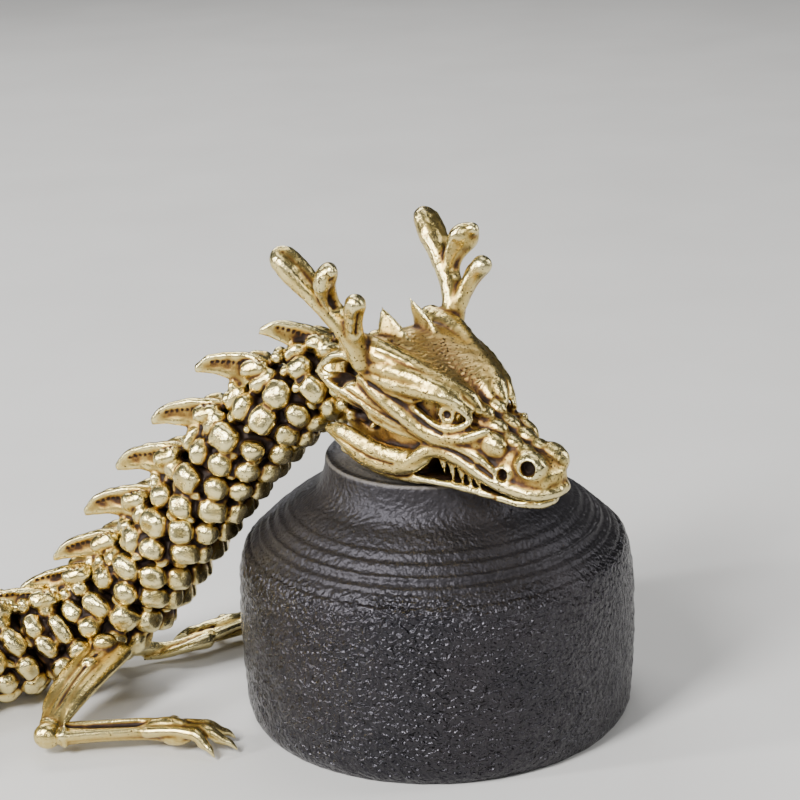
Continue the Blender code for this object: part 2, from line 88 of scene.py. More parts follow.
class Finish:
    """A shader value. + - and * on it add Math nodes, and node() adds any other node."""

    def __init__(self, tree, socket=None):
        self.tree = tree
        self.socket = socket

    def node(self, kind, settings, values, output=0):
        made = self.tree.nodes.new(kind)
        for setting, choice in settings.items():
            if setting == "stops":
                ramp = made.color_ramp
                while len(ramp.elements) < len(choice):
                    ramp.elements.new(1)
                for stop, (place, colour) in zip(ramp.elements, choice):
                    stop.position = place
                    stop.color = (*colour, 1)
            else:
                setattr(made, setting, choice)
        for name, value in values.items():
            if isinstance(value, Finish):
                self.tree.links.new(value.socket, made.inputs[name])
            else:
                made.inputs[name].default_value = value
        return Finish(self.tree, made.outputs[output])

    def math(self, operation, first, second):
        return self.node("ShaderNodeMath", {"operation": operation}, {0: first, 1: second})

    def __add__(self, other):
        return self.math("ADD", self, other)

    def __sub__(self, other):
        return self.math("SUBTRACT", self, other)

    def __rsub__(self, other):
        return self.math("SUBTRACT", other, self)

    def __mul__(self, other):
        return self.math("MULTIPLY", self, other)

    __radd__ = __add__
    __rmul__ = __mul__

    def rise(self, low, high):
        """0 below low, 1 above high, and an S-shaped rise between."""
        settings = {"interpolation_type": "SMOOTHSTEP"}
        return self.node("ShaderNodeMapRange", settings, {0: self, 1: low, 2: high})

    def colours(self, *stops):
        """A colour from a ramp, by this value."""
        return self.node("ShaderNodeValToRGB", {"stops": stops}, {0: self})

    def tint(self, below, above):
        """The first colour where this value is 0, and the second where it is 1."""
        return self.node("ShaderNodeMix", {"data_type": "RGBA"}, {0: self, 6: below, 7: above}, 2)

    def noise(self, place, size_mm, detail=2, roughness=0.5):
        """Cloudy noise whose patches are about this size across, from 0 to 1."""
        values = {"Vector": place, "Scale": 1000 / size_mm, "Detail": detail, "Roughness": roughness}
        return self.node("ShaderNodeTexNoise", {}, values)

    def bump(self, height, distance_mm, strength=1.0, under=None):
        values = {"Strength": strength, "Distance": distance_mm * MM, "Height": height}
        if under:
            values["Normal"] = under
        return self.node("ShaderNodeBump", {}, values)


def new_finish(name):
    """A new material: its empty tree, and the place on the piece that its patterns read."""
    material = bpy.data.materials.new(name)
    material.use_nodes = True
    finish = Finish(material.node_tree)
    return material, finish, finish.node("ShaderNodeTexCoord", {}, {}, "Object")


def coat(material, **values):
    """Sets or links the Principled shader's sockets, named with _ for each space."""
    shader = material.node_tree.nodes["Principled BSDF"]
    for name, value in values.items():
        socket = shader.inputs[name.replace("_", " ")]
        if isinstance(value, Finish):
            material.node_tree.links.new(value.socket, socket)
        else:
            socket.default_value = value


table_material, finish, place = new_finish("table_paint")
clouds = finish.noise(place, 60, 4)
coat(
    table_material,
    Base_Color=clouds.colours((0.3, (0.62, 0.61, 0.59)), (0.7, (0.66, 0.65, 0.63))),
    Roughness=0.65,
)
TABLE_HALF, TABLE_POINTS = 3.0, 13
across = np.linspace(-TABLE_HALF, TABLE_HALF, TABLE_POINTS)
table = put_mesh(
    "table",
    np.stack(np.meshgrid(across, across, [0.0], indexing="xy"), -1).reshape(-1, 3),
    grid_faces(TABLE_POINTS, TABLE_POINTS, around=False),
)
table.data.materials.append(table_material)

world = bpy.data.worlds.new("room")
world.use_nodes = True
world.node_tree.nodes["Background"].inputs["Color"].default_value = (0.55, 0.58, 0.62, 1)
world.node_tree.nodes["Background"].inputs["Strength"].default_value = 0.08
bpy.context.scene.world = world

for name, where, width, height, power in (
    ("key_panel", (-0.55, -0.60, 0.75), 0.24, 0.40, 18.0),
    ("glint_panel", (-0.85, -0.22, 0.36), 0.08, 0.18, 5.5),
    ("over_panel", (0.10, 0.15, 1.05), 0.50, 0.30, 2.0),
    ("front_panel", (0.25, -1.00, 0.55), 0.40, 0.20, 3.0),
    ("right_panel", (0.90, 0.05, 0.50), 0.16, 0.60, 4.0),
    ("back_panel", (-0.30, 0.85, 0.75), 0.70, 0.20, 6.5),
):
    panel = bpy.data.lights.new(name, "AREA")
    panel.shape = "RECTANGLE"
    panel.size = width
    panel.size_y = height
    panel.energy = power
    lamp = bpy.data.objects.new(name, panel)
    toward = Vector((0, 0, 0.05)) - Vector(where)
    lamp.matrix_world = Matrix.Translation(where) @ toward.to_track_quat("-Z", "Y").to_matrix().to_4x4()
    bpy.context.scene.collection.objects.link(lamp)

# Plinth: stoneware turned on a wheel, 80 mm across and 54.5 mm high, with a rounded foot, turned ridges
# round the shoulder and a short neck. Its black glaze is pebbled like orange peel on the wall and drier
# and duller on the shoulder, and a thin paler line at the top edge is a painted highlight.


def cubic(before, here, there, after, step):
    """Catmull-Rom: the cubic from here to there whose slopes follow the points on either side."""
    return 0.5 * (
        2 * here
        + (there - before) * step
        + (2 * before - 5 * here + 4 * there - after) * step**2
        + (3 * here - before - 3 * there + after) * step**3
    )


def smooth_path(knots, steps=6):
    """A Catmull-Rom curve through rows of numbers, with its two end rows mirrored outwards."""
    knots = np.asarray(knots, float)
    padded = np.vstack([2 * knots[0] - knots[1], knots, 2 * knots[-1] - knots[-2]])
    stretches = [padded[first : len(padded) - 3 + first, None] for first in range(4)]
    step = (np.arange(steps) / steps)[None, :, None]
    return np.vstack([cubic(*stretches, step).reshape(-1, knots.shape[1]), knots[-1:]])


def shell(rings, start, end):
    """A closed skin: rings of points joined by cells, with a fan of triangles to a pole at each end."""
    count, sides = rings.shape[:2]
    side = np.arange(sides)
    following = (side + 1) % sides
    low, high, last = count * sides, count * sides + 1, (count - 1) * sides
    fans = [[low + 0 * side, following, side], [high + 0 * side, last + side, last + following]]
    points = np.vstack([rings.reshape(-1, 3), start, end])
    return points, grid_faces(count, sides), np.concatenate([np.stack(fan, -1) for fan in fans])


def clouded(shape, spread, seed):
    """White noise blurred by a bell curve this many cells wide, scaled to a deviation of 1. It joins up
    with itself at its edges."""
    noise = np.random.default_rng(seed).standard_normal(shape)
    down, along = np.fft.fftfreq(shape[0])[:, None], np.fft.fftfreq(shape[1])[None]
    bell = np.exp(-2 * (np.pi * spread) ** 2 * (down**2 + along**2))
    soft = np.fft.ifft2(np.fft.fft2(noise) * bell).real
    return soft / soft.std()


# Radius and height along the outline, from the foot's underside to the middle of the top.
PLINTH_RADIUS = 40.0
plinth_knots = np.array(
    [
        (30, 0), (37.2, 0), (38.3, 0.45), (39.0, 1.6), (39.35, 3.4), (39.75, 9), (40, 18.5), (39.9, 26),
        (39.6, 31), (39.1, 33.9), (38.5, 35.5), (37.9, 36.3), (37.3, 36.5), (36.9, 37.3), (36.3, 37.9),
        (35.6, 38.0), (35.2, 38.8), (34.6, 39.4), (33.8, 39.5), (33.4, 40.3), (32.6, 41.0), (30.8, 42.4),
        (28.4, 44.2), (26.2, 45.8), (24.2, 47.0), (22.8, 48.6), (21.9, 50.7), (21.5, 52.6), (21.4, 53.7),
        (21.1, 54.35), (20.4, 54.5), (19.4, 54.42), (13, 54.4), (5, 54.4),
    ]
)

# The rows stand closest on the ridges and furthest apart under the foot and on the top.
PLINTH_ROWS, PLINTH_TURNS = 186, 420
outline = smooth_path(plinth_knots, 12)
length = np.linalg.norm(np.diff(outline, axis=0), axis=1)
middle = (outline[1:] + outline[:-1]) / 2
needed = np.where(middle[:, 1] < 0.1, 0.3, np.where(middle[:, 1] > 34, 1.7, 1.0))
needed = np.where(middle[:, 0] < 20, 0.3, np.where(middle[:, 1] > 41.5, 1.0, needed))
run = np.concatenate([[0], np.cumsum(length * needed)])
even = np.linspace(0, run[-1], PLINTH_ROWS)
radius, height = np.interp(even, run, outline[:, 0]), np.interp(even, run, outline[:, 1])

# Turned ridges on the shoulder: a sine of the radius that fades out at both ends.
RIDGE_HEIGHT, RIDGE_PITCH = 0.26, 2.15
ridge = np.sin((radius - 28.6) * 2 * np.pi / RIDGE_PITCH)
ridge = RIDGE_HEIGHT * ridge * np.interp(radius, [27.6, 29, 36.2, 37.6], [0, 1, 1, 0])
height = height + ridge * (height > 34)
slope = np.stack([np.gradient(height), -np.gradient(radius)], -1)
slope /= np.linalg.norm(slope, axis=1, keepdims=True)

# Pebbled skin: two sizes of blurred noise, square to the outline, deepest on the wall and none on top.
peel_grid = (PLINTH_ROWS, PLINTH_TURNS)
peel = clouded(peel_grid, 1.15, seed=11) + 0.5 * clouded(peel_grid, 2.6, seed=12)
peel_depth = np.interp(
    height, [0, 3, 32, 37, 50, 53, 54.3, 54.5], [0.03, 0.075, 0.075, 0.03, 0.03, 0.02, 0.008, 0.01]
)
peel_depth = np.where(radius < 20.2, 0, peel_depth)
swell = peel * peel_depth[:, None]
turn = np.linspace(0, 2 * np.pi, PLINTH_TURNS, endpoint=False)
skin_radius = radius[:, None] + swell * slope[:, :1]
skin_height = np.maximum(height[:, None] + swell * slope[:, 1:], 0)
rings = np.stack([skin_radius * np.cos(turn), skin_radius * np.sin(turn), skin_height], -1)
points, quads, fans = shell(rings, (0, 0, 0), (0, 0, 54.4))
plinth = put_mesh("plinth_stoneware", points * MM, quads, fans)

stoneware, finish, place = new_finish("pebbled_stoneware")
tall = finish.node("ShaderNodeSeparateXYZ", {}, {0: place}, 2)
pebbles = finish.noise(place, 0.88, 1, 0.4)
grit = finish.noise(place, 0.32, 3, 0.6)
clouds = finish.noise(place, 16, 3, 0.6)
shoulder = (tall + clouds * 0.006).rise(0.0355, 0.0425)
# A thin band round the top edge is painted pale: a painted highlight.
painted_rim_highlight = tall.rise(0.0537, 0.0542) * (1 - tall.rise(0.05438, 0.05446))
glaze = (clouds + pebbles * 0.35).colours(
    (0.35, (0.0022, 0.0020, 0.0025)), (0.60, (0.0045, 0.0040, 0.0046)), (0.85, (0.010, 0.008, 0.0083))
)
dry = (clouds + grit * 0.3).colours((0.40, (0.006, 0.0056, 0.0058)), (0.85, (0.016, 0.0138, 0.0134)))
coat(
    stoneware,
    Base_Color=painted_rim_highlight.tint(shoulder.tint(glaze, dry), (0.11, 0.10, 0.088, 1)),
    Roughness=0.09 + shoulder * 0.33 + grit * 0.12,
    Specular_IOR_Level=0.46,
    Specular_Tint=(0.92, 0.88, 1.0, 1),
    Normal=finish.bump(grit, 0.08, 0.6, finish.bump(pebbles * (1 - shoulder * 0.75), 1.35, 1.0)),
)
plinth.data.materials.append(stoneware)
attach(plinth, "root")
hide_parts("plinth")

# Head: one lost-wax casting in brass, about 57 mm long, with antlers, brow rolls, cheek flares, jowl
# fins and an open mouth with a few thin teeth. It rests with its chin on the plinth's top. The metal is
# rubbed pale on its ridges and left red-brown and dark in its hollows, with painted highlight on the
# ridges and painted shade in the hollows laid into the same colour.
# Measures are in head units of 0.94 mm: forward from the nape, sideways, and up from under the chin.

HEAD_UNIT, CHIN_FORWARD = 0.94, 54
head_yaw, head_pitch = np.radians(-45), np.radians(7.5)
ahead = np.array([
    np.cos(head_yaw) * np.cos(head_pitch), np.sin(head_yaw) * np.cos(head_pitch), -np.sin(head_pitch)
])
leftward = np.array([-np.sin(head_yaw), np.cos(head_yaw), 0])
head_axes = np.stack([ahead, leftward, np.cross(ahead, leftward)]) * HEAD_UNIT
chin_reach, chin_bearing, chin_height = 34.0, np.radians(-59.5), 53.3
chin = np.array([chin_reach * np.cos(chin_bearing), chin_reach * np.sin(chin_bearing), chin_height])
head_origin = chin - head_axes[0] * CHIN_FORWARD


def in_head(points):
    """Head measures turned into places in millimetres."""
    return np.asarray(points, float) @ head_axes + head_origin


def unit(vectors):
    """The vectors at a length of 1."""
    return vectors / np.linalg.norm(vectors, axis=-1, keepdims=True)


def s_shape(share):
    """0 below 0, 1 above 1, and an S-shaped rise between."""
    share = np.clip(share, 0, 1)
    return share * share * (3 - 2 * share)


def rod(knots, out=(0.1, 1, 0.15), flat=1.0, sides=14, steps=6):
    """A closed rod carried along a smooth path through knots of place and radius, rounded at both ends.
    Its section is an ellipse: flat times as thick along out as it is wide."""
    path = smooth_path(knots, steps)
    centre, radius = path[:, :3], np.maximum(path[:, 3:], 0.05)
    along = unit(np.gradient(centre, axis=0))
    lift = np.radians([[68], [42], [18]])
    first, last = radius[0], radius[-1]
    centre = np.vstack([
        centre[0] - along[0] * first * np.sin(lift),
        centre,
        centre[-1] + along[-1] * last * np.sin(lift[::-1]),
    ])
    radius = np.vstack([first * np.cos(lift), radius, last * np.cos(lift[::-1])])
    along = np.vstack([along[[0] * 3], along, along[[-1] * 3]])
    side = unit(np.cross(along, np.asarray(out, float)))
    up = np.cross(side, along)
    turn = (np.arange(sides) * 2 * np.pi / sides)[None, :, None]
    section = np.cos(turn) * side[:, None] + np.sin(turn) * flat * up[:, None]
    rings = centre[:, None] + radius[:, None] * section
    return shell(rings, path[0, :3] - along[0] * first, path[-1, :3] + along[-1] * last)


def boss(centre, radii, axes=np.eye(3), square=1.0):
    """A closed rounded lump: an ellipsoid whose sines and cosines are raised to a power, so that a power
    below 1 squares its corners. The rows of axes are its directions."""
    sides, rows = 14, 7
    lift = np.linspace(-np.pi / 2, np.pi / 2, rows + 2)[1:-1, None]
    turn = (np.arange(sides) * 2 * np.pi / sides)[None]

    def power(wave):
        return np.sign(wave) * np.abs(wave) ** square

    local = [
        power(np.cos(lift)) * power(np.cos(turn)),
        power(np.cos(lift)) * power(np.sin(turn)),
        power(np.sin(lift)) + 0 * turn,
    ]
    axes, radii = np.asarray(axes, float), np.broadcast_to(np.asarray(radii, float), 3)
    rings = (np.stack(local, -1) * radii) @ axes + centre
    return shell(rings, centre - axes[2] * radii[2], centre + axes[2] * radii[2])


def hoop(centre, way, radius, thick, sides=20):
    """A closed ring of round wire: a circle carried round a circle that faces way."""
    way = unit(np.asarray(way, float))
    side = unit(np.cross(way, [0.3, 0.1, 1.0]))
    turn = (np.arange(sides + 1) * 2 * np.pi / sides)[:, None]
    circle = np.asarray(centre) + radius * (np.cos(turn) * side + np.sin(turn) * np.cross(way, side))
    return rod(np.column_stack([circle, np.full(sides + 1, thick)]), way, steps=2, sides=8)


def both_sides(shapes):
    """Each shape, and its mirror image on the far side."""
    return [
        shape
        for points, quads, fans in shapes
        for shape in ((points, quads, fans), (points * [1, -1, 1], quads[:, ::-1], fans[:, ::-1]))
    ]


def melted(shapes, voxel):
    """One closed skin round shapes that overlap, from Blender's voxel remesh: its points and its quads."""
    starts = np.cumsum([0] + [len(points) for points, _, _ in shapes])
    lump = put_mesh(
        "lump",
        np.vstack([points for points, _, _ in shapes]),
        np.vstack([quads + start for (_, quads, _), start in zip(shapes, starts)]),
        np.vstack([fans + start for (_, _, fans), start in zip(shapes, starts)]),
    )
    melt = lump.modifiers.new("melt", "REMESH")
    melt.mode = "VOXEL"
    melt.voxel_size = voxel
    skin = lump.evaluated_get(bpy.context.evaluated_depsgraph_get()).to_mesh()
    points = np.empty(len(skin.vertices) * 3, np.float32)
    corners = np.empty(len(skin.loops), np.int32)
    skin.vertices.foreach_get("co", points)
    skin.loops.foreach_get("vertex_index", corners)
    bpy.data.objects.remove(lump)
    return points.reshape(-1, 3).astype(float), corners.reshape(-1, 4)


def edges_of(quads):
    """Each edge once, as two arrays of point numbers."""
    ends = np.vstack([quads[:, [corner, (corner + 1) % 4]] for corner in range(4)])
    return np.unique(np.sort(ends, axis=1), axis=0).T


def eased(points, edges, rounds, share=0.5):
    """Each round moves every point this share of the way to the mean of its neighbours."""
    one, other = edges
    size = len(points)
    tally = np.bincount(one, minlength=size) + np.bincount(other, minlength=size)
    for _ in range(rounds):
        total = [
            np.bincount(one, points[other, axis], size) + np.bincount(other, points[one, axis], size)
            for axis in range(3)
        ]
        points = points + share * (np.stack(total, -1) / tally[:, None] - points)
    return points


def facing(points, quads):
    """The direction that the skin faces at each point: the sum of its faces' diagonals crossed."""
    cross = np.cross(points[quads[:, 2]] - points[quads[:, 0]], points[quads[:, 3]] - points[quads[:, 1]])
    total = [np.bincount(quads.ravel(), np.repeat(cross[:, axis], 4), len(points)) for axis in range(3)]
    return unit(np.stack(total, -1) + 1e-12)


def line_share(points, knots, radius):
    """1 on a smooth path through knots, falling as a bell to 0 at this distance from it."""
    path = smooth_path(knots, 5)
    low, high = path.min(axis=0) - radius, path.max(axis=0) + radius
    near = np.flatnonzero(((points > low) & (points < high)).all(axis=1))
    start, step = path[:-1], np.diff(path, axis=0)
    offset = points[near, None] - start
    run = np.clip((offset * step).sum(-1) / (step**2).sum(-1), 0, 1)
    distance = np.linalg.norm(offset - run[..., None] * step, axis=-1).min(axis=1)
    share = np.zeros(len(points))
    share[near] = s_shape(1 - distance / radius)
    return share


def engrave(skin, normals, line, depth, radius):
    """Presses a groove of this depth into the skin along a smooth line, out to this distance from it."""
    skin -= normals * (depth * line_share(skin, line, radius))[:, None]


def hammered(points, normals, depth, size, seed):
    """Points moved in and out by a sum of waves in random directions, so that no face is quite even."""
    luck = np.random.default_rng(seed)
    ways = unit(luck.standard_normal((7, 3))) * 2 * np.pi / (size * luck.uniform(0.7, 1.6, (7, 1)))
    waves = np.sin(points @ ways.T + luck.uniform(0, 2 * np.pi, 7)).sum(axis=1) / 2
    return points + normals * (depth * waves)[:, None]


def rubbed(points, quads, edges):
    """How far each point stands proud of the skin about it, from 0 deep in a crevice to 1 on a ridge. It
    sets the brass's colour: patina and painted shade in crevices, rubbed metal and painted highlight on
    ridges.
    """
    normals = facing(points, quads)
    fine = ((points - eased(points, edges, 5)) * normals).sum(axis=1)
    broad = ((points - eased(points, edges, 45)) * normals).sum(axis=1)
    return 0.5 + np.where(fine > 0, 1.7, 4.0) * fine + 0.7 * broad


def aged_brass_painted_shade(name, pits=0.0):
    """Rubbed brass with patina left in its hollows, with painted shade in its crevices and painted
    highlight on its ridges taken from the value each point carries. Pits is how thickly the skin is
    specked.
    """
    material, finish, place = new_finish(name)
    wear_and_shade_level = finish.node("ShaderNodeAttribute", {"attribute_name": "rubbed"}, {}, "Fac")
    red = finish.node("ShaderNodeAttribute", {"attribute_name": "stained"}, {}, "Fac")
    patches = finish.noise(place, 5.0, 4, 0.6)
    grain = finish.noise(place, 0.5, 3, 0.6)
    specks = finish.noise(place, 0.45, 1, 0.4)
    flock = finish.noise(place, 6.0, 2, 0.5)
    shine = wear_and_shade_level + (patches - 0.5) * 0.40 + (grain - 0.5) * 0.22 - red * 0.10
    # The ramp runs from near black in the crevices, patina and painted shade, to pale yellow on the ridges,
    # rubbed metal and painted highlight.
    metal = shine.colours(
        (0.15, (0.014, 0.006, 0.003)),
        (0.30, (0.075, 0.032, 0.010)),
        (0.42, (0.250, 0.140, 0.036)),
        (0.54, (0.450, 0.305, 0.086)),
        (0.72, (0.650, 0.500, 0.175)),
        (0.97, (0.810, 0.700, 0.350)),
    )
    hole = (specks + (flock - 0.5) * 0.20 + red * 0.05 + pits * 0.055).rise(0.70, 0.75)
    skin = hole.tint((red * 0.42).tint(metal, (0.48, 0.25, 0.14, 1)), (0.030, 0.014, 0.008, 1))
    coat(
        material,
        Base_Color=skin,
        Metallic=0.6 + shine.rise(0.15, 0.5) * 0.4,
        Roughness=0.48 - shine.rise(0.15, 0.8) * 0.29 + grain * 0.12 + hole * 0.2 + red * 0.10,
        Normal=finish.bump(1 - hole, 0.14, 0.6, finish.bump(grain + patches * 0.8, 0.16, 0.5)),
    )
    return material


def above_plinth(points, clearance=0.15):
    """Heights of points, raised where they would come nearer to the plinth's shoulder and top than this."""
    top = plinth_knots[9:]
    floor = np.interp(np.hypot(points[:, 0], points[:, 1]), top[::-1, 0], top[::-1, 1], right=-100)
    return np.maximum(points[:, 2], floor + clearance)


def add_casting(name, node, points, quads, wear_and_shade_level, material, stain=0.0):
    """A brass piece in millimetres put in place of its CAD node, with its wear and painted shade and its
    stain as attributes.
    """
    piece = put_mesh(name, points * MM, quads)
    for attribute, values in (("rubbed", wear_and_shade_level), ("stained", stain)):
        layer = piece.data.attributes.new(attribute, "FLOAT", "POINT")
        values = np.broadcast_to(np.clip(values, 0, 1), len(points))
        layer.data.foreach_set("value", values.astype(np.float32))
    piece.data.materials.append(material)
    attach(piece, "root")
    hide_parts(node)


# Skull, open mouth and lower jaw. A station is its distance from the nape, the height of the top
# centre, five points down the side, and the height of the bottom centre.
skull_stations = [
    (4.5, 18.4, 4.4, 18.0, 7.2, 15.6, 8.0, 12.4, 7.2, 9.2, 4.4, 6.8, 6.4),
    (11, 22.4, 6.0, 22.6, 10.4, 20.8, 11.4, 16.0, 9.8, 9.0, 7.4, 3.6, 3.0),
    (18, 25.0, 6.8, 25.0, 11.2, 22.2, 12.0, 16.0, 9.8, 8.6, 8.8, -0.4, -1.4),
    (24, 24.8, 6.2, 24.8, 10.2, 21.2, 11.6, 15.5, 9.6, 8.4, 8.6, -0.8, -1.7),
    (30, 23.4, 5.0, 23.6, 8.4, 20.0, 9.6, 14.0, 9.0, 7.4, 8.0, -0.6, -1.4),
    (33, 21.8, 4.6, 22.2, 7.2, 18.4, 8.4, 13.2, 8.4, 8.6, 7.4, 4.4, 2.6),
    (36, 20.0, 4.0, 20.4, 6.0, 16.8, 7.2, 12.6, 7.8, 9.2, 6.8, 7.4, 7.4),
    (42, 16.8, 3.2, 16.8, 5.2, 14.2, 6.6, 11.2, 7.0, 8.6, 6.0, 7.0, 7.2),
    (48, 13.8, 2.9, 13.7, 4.8, 12.2, 6.0, 9.8, 6.3, 7.2, 5.4, 5.2, 5.6),
    (54, 12.4, 2.8, 12.4, 4.6, 11.2, 5.4, 9.0, 5.6, 6.4, 4.8, 4.6, 4.8),
    (58, 11.6, 2.6, 11.6, 4.2, 10.4, 4.9, 8.4, 4.8, 6.2, 3.8, 4.8, 4.8),
    (60.6, 9.6, 1.8, 9.6, 3.0, 8.8, 3.5, 7.4, 3.2, 6.0, 2.2, 5.2, 5.2),
]
jaw_stations = [
    (22, 2.0, 4.0, 2.0, 7.0, 1.6, 8.6, 0.6, 8.0, -0.8, 5.0, -1.8, -2.0),
    (31, 0.8, 3.6, 0.6, 6.4, 0.6, 8.4, 0.2, 7.6, -0.9, 4.6, -1.5, -1.6),
    (38, 0.9, 3.2, 0.7, 5.8, 0.9, 7.6, 0.9, 6.8, -0.2, 4.2, -0.8, -0.9),
    (46, 1.4, 2.8, 1.2, 5.0, 1.6, 6.4, 1.7, 5.8, 0.6, 3.6, -0.1, -0.3),
    (54, 1.8, 2.2, 1.6, 3.8, 1.8, 4.9, 1.9, 4.2, 0.9, 2.6, 0.2, 0.0),
    (59, 2.6, 1.2, 2.6, 2.0, 2.6, 2.6, 2.5, 2.2, 1.8, 1.4, 1.2, 1.1),
]


def lofted(stations):
    """A closed skin through stations across the head: smooth from one to the next, and round each."""
    rows = smooth_path(stations, 8)
    half = rows[:, 2:12].reshape(-1, 5, 2)
    top, bottom = rows[:, [1]] * [0, 1], rows[:, [12]] * [0, 1]
    loop = np.concatenate([top[:, None], half, bottom[:, None], half[:, ::-1] * [-1, 1]], axis=1)
    corners = [np.roll(loop, shift, axis=1)[:, :, None] for shift in (1, 0, -1, -2)]
    loop = cubic(*corners, (np.arange(5) / 5)[:, None]).reshape(len(rows), -1, 2)
    rings = np.concatenate([np.broadcast_to(rows[:, :1, None], (*loop.shape[:2], 1)), loop], axis=-1)
    return shell(rings, rings[0].mean(axis=0) - [0.8, 0, 0], rings[-1].mean(axis=0) + [0.8, 0, 0])


